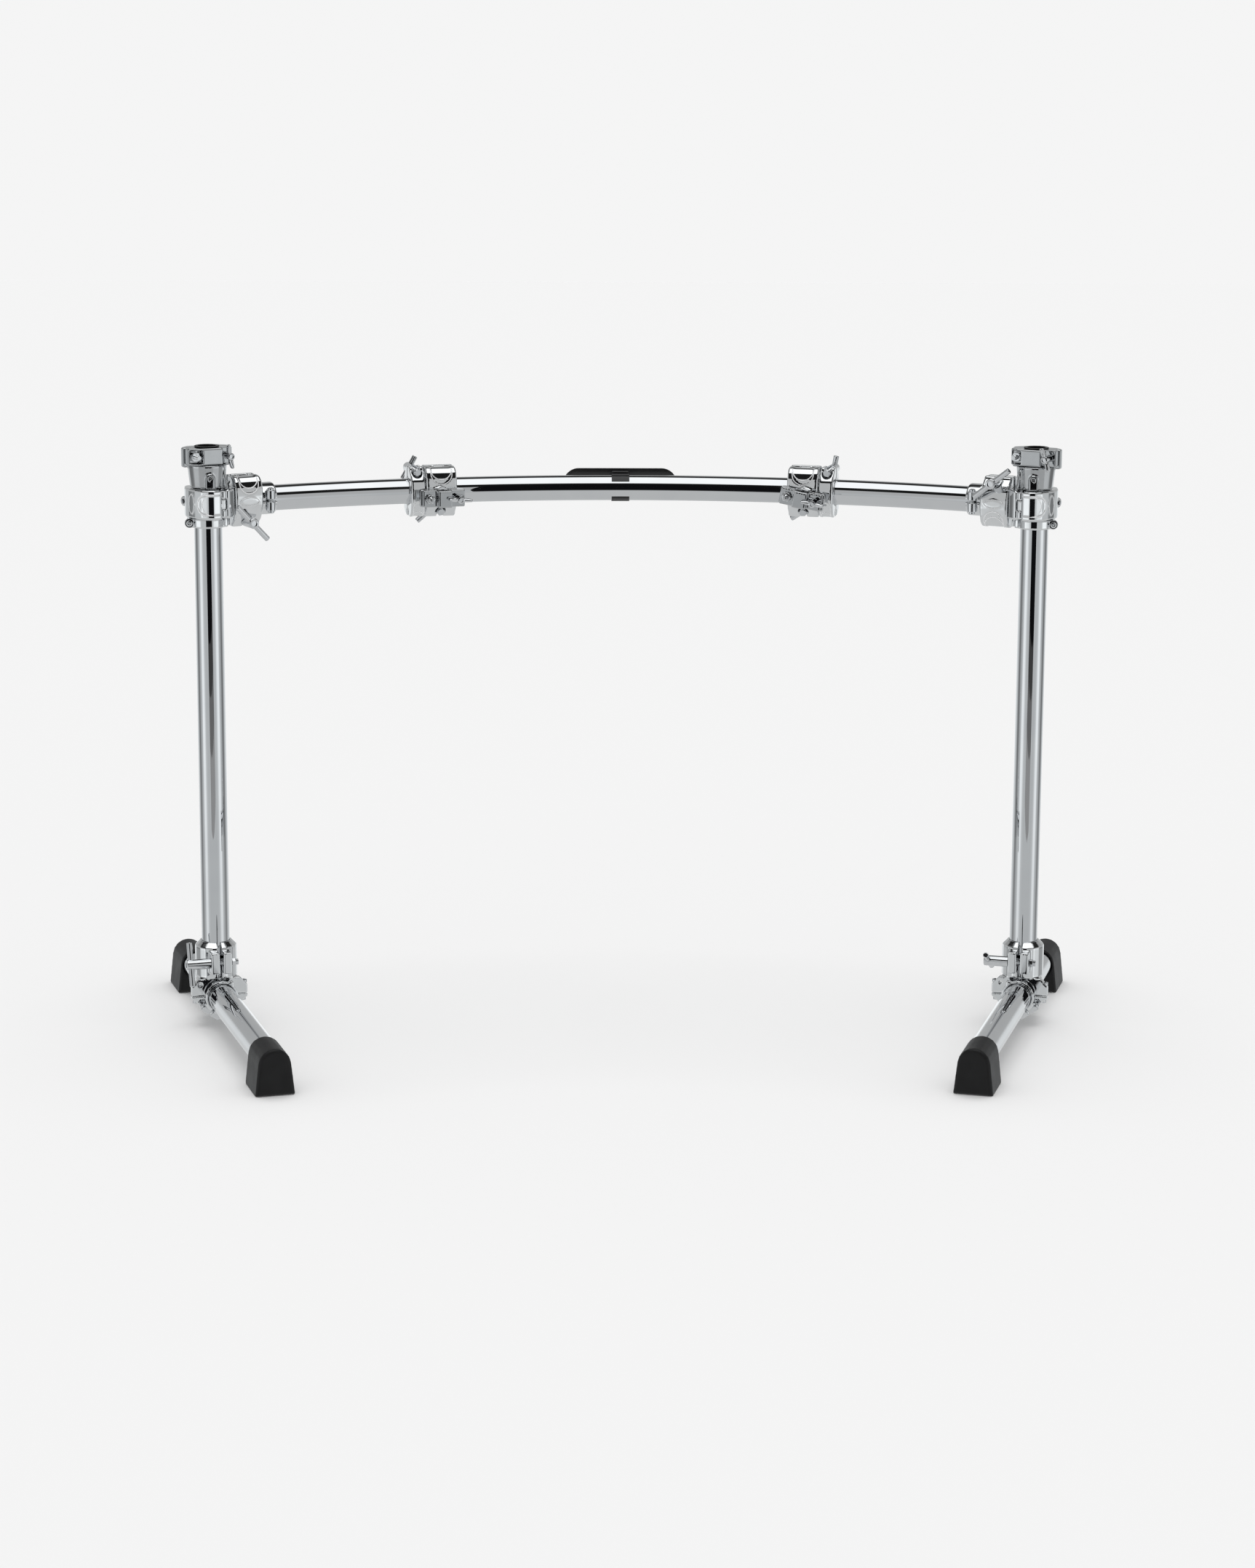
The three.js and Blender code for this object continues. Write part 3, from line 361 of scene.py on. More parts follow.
screwSteel = surface("screwSteel", platingWear, {
    "Scale": 140.0, "Low": 0.05, "High": 0.14,
    "Dull": (0.60, 0.61, 0.63, 1), "Bright": (0.80, 0.81, 0.82, 1),
}, bump=(0.08, 0.0005), metallic=1.0)
footRubber = surface("footRubber", mouldedGrain, {
    "Grain": 1400.0, "Low": 0.38, "High": 0.55,
    "Dark": (0.004, 0.004, 0.004, 1), "Light": (0.015, 0.015, 0.016, 1),
}, bump=(0.12, 0.0004), specular=0.26)
bushingPlastic = surface("bushingPlastic", mouldedGrain, {
    "Grain": 2000.0, "Low": 0.3, "High": 0.5,
    "Dark": (0.003, 0.003, 0.003, 1), "Light": (0.010, 0.010, 0.011, 1),
}, bump=(0.05, 0.0002), specular=0.3)
badgePlastic = surface("badgePlastic", mouldedGrain, {
    "Grain": 2400.0, "Low": 0.24, "High": 0.36,
    "Dark": (0.007, 0.007, 0.008, 1), "Light": (0.018, 0.018, 0.019, 1),
}, bump=(0.04, 0.0002))
print("materials made")


def mergedCopy(node):
    piece = bpy.data.objects.new(node + "_shell", nodes[node].data.copy())
    bpy.context.scene.collection.objects.link(piece)
    piece.data.name = piece.name
    editAll(piece)
    bpy.ops.mesh.remove_doubles(threshold=shop["weld"])
    leaveEdit()
    return piece


def cast(node, material, slot, grid, passes):
    # an even skin over the whole solid, its edges softened as they are before plating
    piece = mergedCopy(node)
    skin = piece.modifiers.new("skin", "REMESH")
    skin.mode = "VOXEL"
    skin.voxel_size = grid
    skin.use_smooth_shade = True
    soft = piece.modifiers.new("soft", "SMOOTH")
    soft.factor = shop["softening"]
    soft.iterations = passes
    applyModifiers(piece)
    return dress(piece, material, bodyOfNode[node], slot, node)


castings = {
    "grid": 0.0008,
    "passes": {"crisp": 8, "soft": 17, "round": 34},
    "parts": {
        "crisp": ("top_collar_jaw", "accessory_body", "accessory_jaw", "leg_clamp_jaw"),
        "soft": (
            "corner_clamp_body", "corner_pole_jaw", "corner_bar_jaw", "top_socket", "leg_clamp_body",
            "wide_clamp_body", "wide_clamp_jaw", "narrow_clamp_body", "narrow_clamp_jaw",
        ),
        "round": ("bar_lock", "pole_lock", "foot_tube_lock"),
    },
    # these castings take the darker copy of the chrome, which is painted shade
    "darkParts": ("top_collar_jaw", "top_socket", "accessory_body", "accessory_jaw"),
}
for side in sides:
    for finish, parts in castings["parts"].items():
        for part in parts:
            chrome = collarChrome if part in castings["darkParts"] else castChrome
            cast(side + part, chrome, "chrome", castings["grid"], castings["passes"][finish])
print("castings made")

feet = {"grid": 0.0011, "passes": 16}
for side in sides:
    for end in ("front_foot", "rear_foot"):
        cast(side + end, footRubber, "rubber", feet["grid"], feet["passes"])

# the bare badge plate, on a clip that is open towards the player; opening and turn in degrees
badge = {
    "height": 0.0445, "thickness": 0.003, "rise": 0.002, "edge": 0.0009,
    "panel": 0.0022, "panelDepth": 0.0005, "panelFlat": 0.99,
    "clipWidth": 0.0245, "clipInner": 0.0176, "clipThickness": 0.00245, "clipEdge": 0.0005,
    "clipSteps": 72, "clipCrease": 50, "opening": 80, "turn": -1,
    "pad": (0.0241, 0.0105, 0.0130), "padTop": 0.0212, "padEdge": 0.0016, "padInPlate": 0.0003,
}
b = badge
low, high = (Vector(corner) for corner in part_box("badge_plate"))
half = b["height"] / 2
straight = (high.x - low.x) / 2 - half
axisY = high.y - b["thickness"] - b["clipThickness"] - b["clipInner"]
axisZ = joints["left_clamp_travel"]["pos_m"][2]
frontY = high.y - b["thickness"]
plate = cylinder("plate", half, (0, high.y, axisZ + b["rise"]), (0, frontY, axisZ + b["rise"]), "tube")
for direction in (-1, 1):
    # the two halves of the disc move apart, which leaves a stadium
    pick(plate, "VERT", lambda vertex: vertex.co.x * direction > shop["tiny"])
    bpy.ops.transform.translate(value=(direction * straight, 0, 0))
    leaveEdit()
roundEdges(plate, b["edge"], 4)
pick(plate, "FACE", lambda face: abs(face.normal.y) > b["panelFlat"])
bpy.ops.mesh.inset(thickness=b["panel"])
bpy.ops.mesh.inset(thickness=b["panelDepth"], depth=-b["panelDepth"])
leaveEdit()

lift = math.radians(-90 + b["turn"] + b["opening"] / 2)
ring = b["clipInner"] + b["clipThickness"] / 2
deselectAll()
start = (0, axisY + ring * math.sin(lift), axisZ + ring * math.cos(lift))
bpy.ops.mesh.primitive_plane_add(size=1, location=start)
clip = named(bpy.context.object, "clip")
clip.scale = (b["clipWidth"], b["clipThickness"], 1)
clip.rotation_euler = (-lift, 0, 0)
settle(clip)
spinShut(clip, b["clipSteps"], math.radians(360 - b["opening"]), (0, axisY, axisZ), (1, 0, 0))
roundEdges(clip, b["clipEdge"], 3, b["clipCrease"])
padY = frontY - b["pad"][1] / 2 + b["padInPlate"]
pad = block("pad", b["pad"], (0, padY, axisZ + b["padTop"] - b["pad"][2] / 2))
roundEdges(pad, b["padEdge"], 4)
model = joinPieces("badge_plate_shell", [plate, clip, pad])
smoothBy(model)
dress(model, badgePlastic, "rack", "plastic", "badge_plate")
print("feet and badge plate made")

tubes = {"radius": 0.01905, "rim": 0.0022, "boreDepth": 0.42}


def roundTube(node, start, end, openEnd=False):
    piece = cylinder(node + "_tube", tubes["radius"], start, end, "tube")
    if openEnd:
        sinkEnd(piece, 1, tubes["rim"], tubes["boreDepth"])
    smoothBy(piece)
    return dress(piece, tubeChrome, bodyOfNode[node], "chrome", node)


def middleOf(node):
    low, high = (Vector(corner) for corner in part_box(node))
    return low, high, (low + high) / 2


for side in sides:
    low, high, middle = middleOf(side + "pole")
    roundTube(side + "pole", (middle.x, middle.y, low.z), (middle.x, middle.y, high.z), openEnd=True)

    along = Vector(joints[side + "foot_reach"]["axis"])
    reach = [along.dot(vertex.co) for vertex in nodes[side + "foot_tube"].data.vertices]
    low, high, middle = middleOf(side + "foot_tube")
    offset = middle - along * along.dot(middle)
    roundTube(side + "foot_tube", offset + along * min(reach), offset + along * max(reach))

# the bar is a disc turned about the centre of the bend, as far each way as the solid goes
bend = {"sides": 72, "steps": 120, "radius": 0.01745}
barPoints = nodes["curved_bar"].data.vertices
centre = Vector(joints["left_clamp_travel"]["pos_m"])
reach = max(math.atan2(vertex.co.x - centre.x, vertex.co.y - centre.y) for vertex in barPoints)
bendRadius = sum((vertex.co.xy - centre.xy).length for vertex in barPoints) / len(barPoints)
deselectAll()
start = centre + Vector((-math.sin(reach) * bendRadius, math.cos(reach) * bendRadius, 0))
bpy.ops.mesh.primitive_circle_add(
    vertices=bend["sides"], radius=bend["radius"], fill_type="NGON", location=start
)
curvedBar = named(bpy.context.object, "curved_bar_tube")
tangent = Vector((math.cos(reach), math.sin(reach), 0))
curvedBar.rotation_euler = tangent.to_track_quat("Z", "Y").to_euler()
settle(curvedBar)
spinShut(curvedBar, bend["steps"], 2 * reach, centre, (0, 0, 1))
smoothBy(curvedBar)
dress(curvedBar, tubeChrome, "rack", "chrome", "curved_bar")
print("tubes made")


# each screw is modelled once at the origin, its axis along Z and its head towards -Z
thread = {"pitch": 0.0012, "cut": 0.00035, "lead": 0.0006, "nutEdge": 0.0006}


def threadedRod(name, radius, start, end):
    # the end face is drawn out in small steps, in and out
    piece = cylinder(name, radius, (0, 0, start - thread["lead"]), (0, 0, start), "rod")
    steps = max(2, round((end - start) / thread["pitch"]))
    half = (end - start) / steps / 2
    inward = 1 - thread["cut"] / radius
    pickEnd(piece, 1)
    for step in range(steps):
        for scale in (inward, 1 / inward):
            extrudeBy(0, 0, half)
            bpy.ops.transform.resize(value=(scale, scale, 1), center_override=(0, 0, 0))
    leaveEdit()
    return piece


def softNut(name, radius, start, end):
    nut = cylinder(name, radius, (0, 0, start), (0, 0, end), "hexagon")
    roundEdges(nut, thread["nutEdge"])
    return nut


def frameAt(origin, axis, across):
    # a matrix whose z is the screw's axis and whose x is its crossbar or wing
    axis, across = Vector(axis).normalized(), Vector(across)
    across = (across - axis * across.dot(axis)).normalized()
    side = axis.cross(across)
    return Matrix((
        (across.x, side.x, axis.x, origin[0]),
        (across.y, side.y, axis.y, origin[1]),
        (across.z, side.z, axis.z, origin[2]),
        (0, 0, 0, 1),
    ))


def axisFrame(joint, node):
    # where the screw stands: its joint's axis, and the crossbar's direction read from the solid
    origin = Vector(joint["pos_m"])
    axis = Vector(joint["axis"]).normalized()
    spokes = []
    for vertex in nodes[node].data.vertices:
        reach = vertex.co - origin
        spokes.append(reach - axis * reach.dot(axis))
    longest = max(spokes, key=lambda spoke: spoke.length)
    # the mean of all that reach nearly as far the same way is the middle of that end
    enough = shop["nearShare"] * longest.length_squared
    near = [spoke for spoke in spokes if spoke.dot(longest) > enough]
    return frameAt(origin, axis, sum(near, Vector()))


tScrew = {
    "crossbar": 0.0039, "crossbarEdge": 0.0011, "sleeve": 0.0072,
    "dome": 0.0025, "domeEdge": 0.0015, "domeSteps": 5, "recess": 0.0018, "rim": 0.0021, "waist": 0.0009,
    "rod": 0.004, "rodInSleeve": 0.002, "nut": 0.0058, "nutThickness": 0.005,
    "kinds": {  # joint, crossbar length, sleeve length, thickness of what it grips
        "corner_bar_t_screw": ("corner_t_screw_turn", 0.064, 0.0225, 0.0256),
        "wide_clamp_t_screw": ("wide_t_screw_turn", 0.061, 0.0225, 0.0256),
        "narrow_clamp_t_screw": ("narrow_t_screw_turn", 0.036, 0.0225, 0.0256),
        "leg_clamp_t_screw": ("leg_t_screw_turn", 0.061, 0.027, 0.0296),
    },
}


def tScrewModel(name, length, sleeveLength, grip):
    s = tScrew
    crossbar = cylinder("crossbar", s["crossbar"], (-length / 2, 0, 0), (length / 2, 0, 0), "small")
    roundEdges(crossbar, s["crossbarEdge"])
    head = -s["crossbar"] - s["dome"]
    sleeve = cylinder("sleeve", s["sleeve"], (0, 0, head), (0, 0, sleeveLength), "sleeve")
    pickEnd(sleeve, -1)
    bpy.ops.mesh.bevel(offset=s["domeEdge"], segments=s["domeSteps"], profile=0.5)
    leaveEdit()
    sinkEnd(sleeve, -1, s["rim"], s["recess"])
    sinkEnd(sleeve, 1, s["waist"], s["waist"])
    nutFrom = sleeveLength + grip
    nutTo = nutFrom + s["nutThickness"]
    rod = threadedRod("rod", s["rod"], sleeveLength - s["rodInSleeve"], nutTo + s["rod"])
    nut = softNut("nut", s["nut"], nutFrom, nutTo)
    model = joinPieces(name, [crossbar, sleeve, rod, nut])
    smoothBy(model)
    return model


for kind, (joint, length, sleeveLength, grip) in tScrew["kinds"].items():
    model = tScrewModel(kind + "_model", length, sleeveLength, grip)
    for side in sides:
        screw = placedCopy(model, side + kind + "_handle", axisFrame(joints[side + joint], side + kind))
        dress(screw, screwSteel, bodyOfNode[side + kind], "chrome", side + kind)
    dropModel(model)
print("T screws made")

wingScrew = {
    "hub": 0.0048, "hubEdge": 0.0008, "rim": 0.0014, "recess": 0.0016,
    "thread": 0.0032, "threadInHub": 0.0005, "subdivisions": 3,
    "root": (0.0065, 0.0068, 0.0108),  # length, thickness, height
    "steps": (  # out, up, and the share that is left of the thickness and the height
        (0.0052, -0.0016, 0.74, 1.10),
        (0.0027, -0.0008, 0.85, 0.85),
    ),
    # how far the hub's two ends and the shank's end are from the middle of the screw
    "collars": {"top": (0.0113, 0.032, 0.010), "accessory": (0.0093, 0.030, 0.0085)},
}
hexBolt = {
    "nut": 0.0069, "thickness": 0.006, "tip": 0.011, "tipEdge": 0.0005, "thread": 0.0032, "shankInNut": 0.001,
    "accessoryFace": 0.0091,  # from the middle of the accessory clamp's hinge bolt to its nut
}


def wingScrewModel(name, face, hubEnd, shankEnd):
    w = wingScrew
    hub = cylinder("hub", w["hub"], (0, 0, -hubEnd), (0, 0, -face), "small")
    roundEdges(hub, w["hubEdge"])
    sinkEnd(hub, -1, w["rim"], w["recess"])
    rod = threadedRod("thread", w["thread"], -face - w["threadInHub"], shankEnd)
    centreZ = -hubEnd + w["root"][2] / 2
    wing = block("wing", w["root"], ((w["hub"] + w["root"][0]) / 2, 0, centreZ))
    pick(wing, "FACE", lambda wall: wall.normal.x > shop["flatEnd"])
    for out, up, thinner, lower in w["steps"]:
        extrudeBy(out, 0, up)
        bpy.ops.transform.resize(value=(1, thinner, lower), center_override=(0, 0, centreZ + up))
    leaveEdit()
    rounding = wing.modifiers.new("rounding", "SUBSURF")
    rounding.levels = rounding.render_levels = w["subdivisions"]
    applyModifiers(wing)
    other = placedCopy(wing, "otherWing", Matrix.Rotation(math.pi, 4, "Z"))
    model = joinPieces(name, [hub, rod, wing, other])
    smoothBy(model)
    return model


def hexBoltModel(name, face, shankEnd):
    h = hexBolt
    nutEnd = -face - h["thickness"]
    nut = softNut("nut", h["nut"], nutEnd, -face)
    tip = threadedRod("tip", h["thread"], nutEnd - h["tip"] + thread["lead"], -face)
    pickEnd(tip, -1)
    bpy.ops.mesh.bevel(offset=h["tipEdge"], segments=2)
    leaveEdit()
    pieces = [nut, tip]
    if shankEnd is not None:
        shankFrom = -face - h["shankInNut"]
        pieces.append(cylinder("shank", h["thread"], (0, 0, shankFrom), (0, 0, shankEnd), "rod"))
    model = joinPieces(name, pieces)
    smoothBy(model)
    return model


for collar, sizes in wingScrew["collars"].items():
    model = wingScrewModel(collar + "_wing_model", *sizes)
    for side in sides:
        node = side + collar + "_wing_screw"
        screw = placedCopy(model, node + "_wings", axisFrame(joints[side + collar + "_wing_turn"], node))
        dress(screw, screwSteel, bodyOfNode[node], "chrome", node)
    dropModel(model)

face, hubEnd, shankEnd = wingScrew["collars"]["top"]
model = hexBoltModel("hinge_model", face, shankEnd)
for side in sides:
    # it stands opposite the wing screw, the upright's axis between them
    wingJoint, pole = joints[side + "top_wing_turn"], middleOf(side + "pole")[2]
    wingAt = Vector(wingJoint["pos_m"])
    place = (2 * pole.x - wingAt.x, 2 * pole.y - wingAt.y, wingAt.z)
    node = side + "top_hinge_bolt"
    bolt = placedCopy(model, node + "_nut", frameAt(place, wingJoint["axis"], (0, 0, 1)))
    dress(bolt, screwSteel, bodyOfNode[node], "chrome", node)
dropModel(model)
print("wing screws and hinge bolts made")

# small hardware on the castings: node, place, axis away from the head, across
accessoryNuts = [
    ("left_accessory_body", (-0.26315, 0.15145, 0.7185), (-0.22546, 0.97425, 0), (0, 0, 1)),
    ("right_accessory_body", (0.22855, 0.1595, 0.72189), (0.22835, 0.97358, 0), (0.16906, -0.03965, 0.98481)),
]
earBolts = [
    ("left_corner_pole_bolt", (-0.57958, 0.10392, 0.7225), (0.70208, 0.7121, 0), (0, 0, -1)),
    ("right_corner_pole_bolt", (0.57958, 0.10392, 0.7225), (-0.70208, 0.7121, 0), (0, 0, 1)),
]
keyHeads = [
    ("left_pole_lock", (-0.5829, 0.09763, 0.69545), (0, 1, 0), (-1, 0, 0)),
    ("left_pole_lock", (-0.5829, 0.06963, 0.69545), (0, -1, 0), (-1, 0, 0)),
    ("left_bar_lock", (-0.47558, 0.10073, 0.7085), (0, 0, -1), (0.90081, 0.43422, 0)),
    ("left_bar_lock", (-0.47558, 0.10073, 0.7365), (0, 0, 1), (0.90081, 0.43422, 0)),
    ("left_foot_tube_lock", (-0.57457, 0.0466, 0.02845), (-0.78742, -0.22579, 0.57358), (-0.27564, 0.96126, 0)),
    ("left_foot_tube_lock", (-0.55253, 0.05292, 0.01239), (0.78742, 0.22579, -0.57358), (-0.27564, 0.96126, 0)),
    ("right_pole_lock", (0.5829, 0.06963, 0.69545), (0, -1, 0), (1, 0, 0)),
    ("right_pole_lock", (0.5829, 0.09763, 0.69545), (0, 1, 0), (1, 0, 0)),
    ("right_bar_lock", (0.47558, 0.10073, 0.7085), (0, 0, -1), (0.90081, -0.43422, 0)),
    ("right_bar_lock", (0.47558, 0.10073, 0.7365), (0, 0, 1), (0.90081, -0.43422, 0)),
    ("right_foot_tube_lock", (0.55253, 0.05292, 0.01239), (-0.78742, 0.22579, -0.57358), (0.27564, 0.96126, 0)),
    ("right_foot_tube_lock", (0.57457, 0.0466, 0.02845), (0.78742, -0.22579, 0.57358), (0.27564, 0.96126, 0)),
]
ovals = [
    ("left_corner_pole_jaw", (-0.57908, 0.06255, 0.7225), (-0.75578, -0.65482, 0), (0, 0, -1)),
    ("left_corner_bar_jaw", (-0.50174, 0.08182, 0.723), (0.45888, -0.88503, -0.07846), (0.88777, 0.4603, 0)),
    ("right_corner_pole_jaw", (0.57908, 0.06255, 0.7225), (0.75578, -0.65482, 0), (0, 0, 1)),
    ("right_corner_bar_jaw", (0.50174, 0.08182, 0.722), (-0.45888, -0.88503, 0.07846), (-0.88777, 0.4603, 0)),
]
model = hexBoltModel("accessory_nut_model", hexBolt["accessoryFace"], None)
for node, place, axis, across in accessoryNuts:
    nut = placedCopy(model, node + "_nut", frameAt(place, axis, across))
    dress(nut, screwSteel, bodyOfNode[node], "chrome")
dropModel(model)

earBolt = {
    "head": 0.0069, "headEdge": 0.0009, "rim": 0.0034, "recess": 0.0028, "seat": 0.0128, "thickness": 0.005,
    "rod": 0.004, "rodInHead": 0.001, "nut": 0.0058,
}
e = earBolt
head = cylinder("head", e["head"], (0, 0, -e["seat"] - e["thickness"]), (0, 0, -e["seat"]), "large")
roundEdges(head, e["headEdge"])
sinkEnd(head, -1, e["rim"], e["recess"])
shankFrom, shankTo = -e["seat"] - e["rodInHead"], e["seat"] + e["thickness"] / 2
shank = cylinder("shank", e["rod"], (0, 0, shankFrom), (0, 0, shankTo), "shank")
nut = softNut("nut", e["nut"], e["seat"], e["seat"] + e["thickness"])
model = joinPieces("ear_bolt_model", [head, shank, nut])
smoothBy(model)
for node, place, axis, across in earBolts:
    bolt = placedCopy(model, node + "_head", frameAt(place, axis, across))
    dress(bolt, screwSteel, bodyOfNode[node], "chrome", node)
dropModel(model)

keyHead = {
    "radius": 0.0042, "height": 0.0029, "edge": 0.0005, "rim": 0.0016, "depth": 0.0017, "inBoss": 0.0004,
    "boss": 0.0066, "bossLength": 0.0124, "bossEdge": 0.0010, "bossRise": 0.0002,
}
k = keyHead
head = cylinder("head", k["radius"], (0, 0, -k["height"]), (0, 0, k["inBoss"]), "small")
roundEdges(head, k["edge"])
sinkEnd(head, -1, k["rim"], k["depth"])
boss = cylinder("boss", k["boss"], (0, 0, -k["bossRise"]), (0, 0, k["bossLength"]), "large")
roundEdges(boss, k["bossEdge"], 4)
model = joinPieces("key_head_model", [head, boss])
smoothBy(model)
for index, (node, place, outward, across) in enumerate(keyHeads):
    inward = [-part for part in outward]
    cap = placedCopy(model, node + "_key" + str(index), frameAt(place, inward, across))
    dress(cap, screwSteel, bodyOfNode[node], "chrome")
dropModel(model)

# a fine rim round each bare oval, pale satin that stands in for a painted highlight
ovalRim = {"long": 0.0137, "short": 0.0059, "wire": 0.00055, "resolution": 16}


def wireOf(curve, radius):
    # gives a curve a round section and makes it a mesh
    curve.data.bevel_depth = radius
    curve.data.bevel_resolution = 3
    curve.data.use_fill_caps = True
    bpy.ops.object.convert(target="MESH")
    wire = bpy.context.object
    smoothBy(wire, shop["wireCrease"], weighted=False)
    return wire


deselectAll()
bpy.ops.curve.primitive_bezier_circle_add(radius=1)
oval = named(bpy.context.object, "oval_model")
oval.scale = (ovalRim["long"], ovalRim["short"], 1)
bpy.ops.object.transform_apply(location=False, rotation=False, scale=True)
oval.data.resolution_u = ovalRim["resolution"]
model = wireOf(oval, ovalRim["wire"])
for node, place, outward, across in ovals:
    rim = placedCopy(model, node + "_oval", frameAt(place, outward, across))
    dress(rim, satinChrome, bodyOfNode[node], "chrome")
dropModel(model)
print("small hardware made")

# a raised line round each U-shaped relief, closed by a second arc where the legs end:
# the ring's centre, towards the crown, towards the ears
reliefLines = [
    ("left_corner_pole_jaw", (-0.559, 0.08363, 0.7225), (-0.70208, -0.7121, 0), (-0.7121, 0.70208, 0)),
    ("left_corner_bar_jaw", (-0.51461, 0.10664, 0.7225), (0.4603, -0.88777, 0), (0, 0, -1)),
    ("left_wide_clamp_body", (-0.25207, 0.20334, 0.7225), (0.22546, -0.97425, 0), (0, 0, -1)),
    ("left_narrow_clamp_body", (-0.2842, 0.1954, 0.7225), (0.2542, -0.96715, 0), (0, 0, 1)),
    ("right_corner_pole_jaw", (0.559, 0.08363, 0.7225), (0.70208, -0.7121, 0), (0.7121, 0.70208, 0)),
    ("right_corner_bar_jaw", (0.51461, 0.10664, 0.7225), (-0.4603, -0.88777, 0), (0, 0, 1)),
    ("right_wide_clamp_body", (0.2553, 0.20258, 0.7225), (-0.22835, -0.97358, 0), (0, 0, -1)),
    ("right_narrow_clamp_body", (0.28741, 0.19455, 0.7225), (-0.25707, -0.96639, 0), (0, 0, 1)),
]
reliefLine = {
    "beyond": 0.0003, "step": 0.0012, "above": 0.036, "sides": 48,
    "kinds": {  # half of its width, where the round end is, where it runs out at the hinge, and its thickness
        "corner_pole_jaw": (0.0135, -0.0121, -0.0335, 0.0006),
        "corner_bar_jaw": (0.0135, -0.0117, -0.0325, 0.0007),
        "wide_clamp_body": (0.0145, -0.0117, -0.0325, 0.0007),
        "narrow_clamp_body": (0.00675, -0.0117, -0.0325, 0.0004),
    },
}


def reliefPath(name, halfWidth, tip, hinge):
    # half a circle and the band that it sweeps towards the hinge, flat on the ground
    r = reliefLine
    deselectAll()
    bpy.ops.mesh.primitive_circle_add(vertices=r["sides"], radius=halfWidth)
    path = named(bpy.context.object, name)
    pick(path, "VERT", lambda vertex: vertex.co.x < -shop["tiny"])
    bpy.ops.mesh.delete(type="VERT")
    bpy.ops.mesh.select_all(action="SELECT")
    bpy.ops.transform.translate(value=(tip - halfWidth, 0, 0))
    leaveEdit()
    ends = min(vertex.co.x for vertex in path.data.vertices) + shop["tiny"]
    steps = max(1, round((ends - hinge) / r["step"]))
    editAll(path)
    for step in range(steps):
        extrudeBy((hinge - ends) / steps, 0, 0)
    leaveEdit()
    return path


def reliefWire(node, origin, crown, ears):
    r = reliefLine
    halfWidth, tip, hinge, thickness = r["kinds"][node.split("_", 1)[1]]
    path = reliefPath(node + "_relief", halfWidth + r["beyond"], tip + r["beyond"], hinge)
    # laid down on the casting from above its crown
    path.matrix_world = frameAt(origin, crown, ears) @ Matrix.Translation((0, 0, r["above"]))
    laid = path.modifiers.new("laid", "SHRINKWRAP")
    laid.wrap_method = "PROJECT"
    laid.use_project_z = True
    laid.use_negative_direction = True
    laid.use_positive_direction = False
    laid.target = bpy.data.objects[node + "_shell"]
    applyModifiers(path)
    settle(path)
    useOnly(path)
    bpy.ops.object.convert(target="CURVE")  # the edge of the band becomes the line
    wire = wireOf(bpy.context.object, thickness)
    # the line is pale satin, a painted highlight
    dress(wire, satinChrome, bodyOfNode[node], "chrome")


for node, origin, crown, ears in reliefLines:
    reliefWire(node, origin, crown, ears)
print("relief lines laid")

# the bolts that hold the leg clamp together: place, axis away from the head, across
lobeBolts = [
    ("left_leg_clamp_body", (-0.58768, 0.05668, 0.0555), (0, 0, -1), (0.96126, 0.27564, 0)),
    ("left_leg_clamp_body", (-0.52039, 0.07597, 0.0555), (0, 0, -1), (0.96126, 0.27564, 0)),
    ("left_leg_clamp_jaw", (-0.58576, 0.05723, 0.033), (0, 0, 1), (0.96126, 0.27564, 0)),
    ("left_leg_clamp_jaw", (-0.52232, 0.07542, 0.033), (0, 0, 1), (0.96126, 0.27564, 0)),
    ("right_leg_clamp_body", (0.52039, 0.07597, 0.0555), (0, 0, -1), (0.96126, -0.27564, 0)),
    ("right_leg_clamp_body", (0.58768, 0.05668, 0.0555), (0, 0, -1), (0.96126, -0.27564, 0)),
    ("right_leg_clamp_jaw", (0.52232, 0.07542, 0.033), (0, 0, 1), (0.96126, -0.27564, 0)),
    ("right_leg_clamp_jaw", (0.58576, 0.05723, 0.033), (0, 0, 1), (0.96126, -0.27564, 0)),
]
lobeBolt = {"head": 0.0041, "height": 0.0032, "edge": 0.0006, "rim": 0.0017, "depth": 0.002, "inLobe": 0.0008}
h = lobeBolt
model = cylinder("lobe_bolt_model", h["head"], (0, 0, -h["height"]), (0, 0, h["inLobe"]), "small")
roundEdges(model, h["edge"])
sinkEnd(model, -1, h["rim"], h["depth"])
smoothBy(model)
for index, (node, place, axis, across) in enumerate(lobeBolts):
    bolt = placedCopy(model, node + "_bolt" + str(index), frameAt(place, axis, across))
    dress(bolt, screwSteel, bodyOfNode[node], "chrome")
dropModel(model)
print("leg clamp bolts made")

bushing = {"flat": 1.2, "edge": 0.0005, "edgeAngle": 38, "crease": 50}  # flat and the angles in degrees
for side in sides:
    node = side + "top_bushing"
    piece = mergedCopy(node)
    editAll(piece)
    bpy.ops.mesh.dissolve_limited(angle_limit=math.radians(bushing["flat"]))
    leaveEdit()
    roundEdges(piece, bushing["edge"], 3, bushing["edgeAngle"])
    smoothBy(piece, bushing["crease"])
    dress(piece, bushingPlastic, bodyOfNode[node], "plastic", node)
print("bushings made")

# the studio: pale floor and background, and for the metal a room of its own
studio = {
    "floorSize": 24, "floorDrop": 0.0002, "floor": (0.83, 0.83, 0.83, 1), "floorRoughness": 0.9,
    "backdrop": (0.912, 0.912, 0.912, 1), "fill": (0.72, 0.72, 0.72, 1),
    "sun": 1.19, "sunAngle": 50, "sunLean": -8,
}

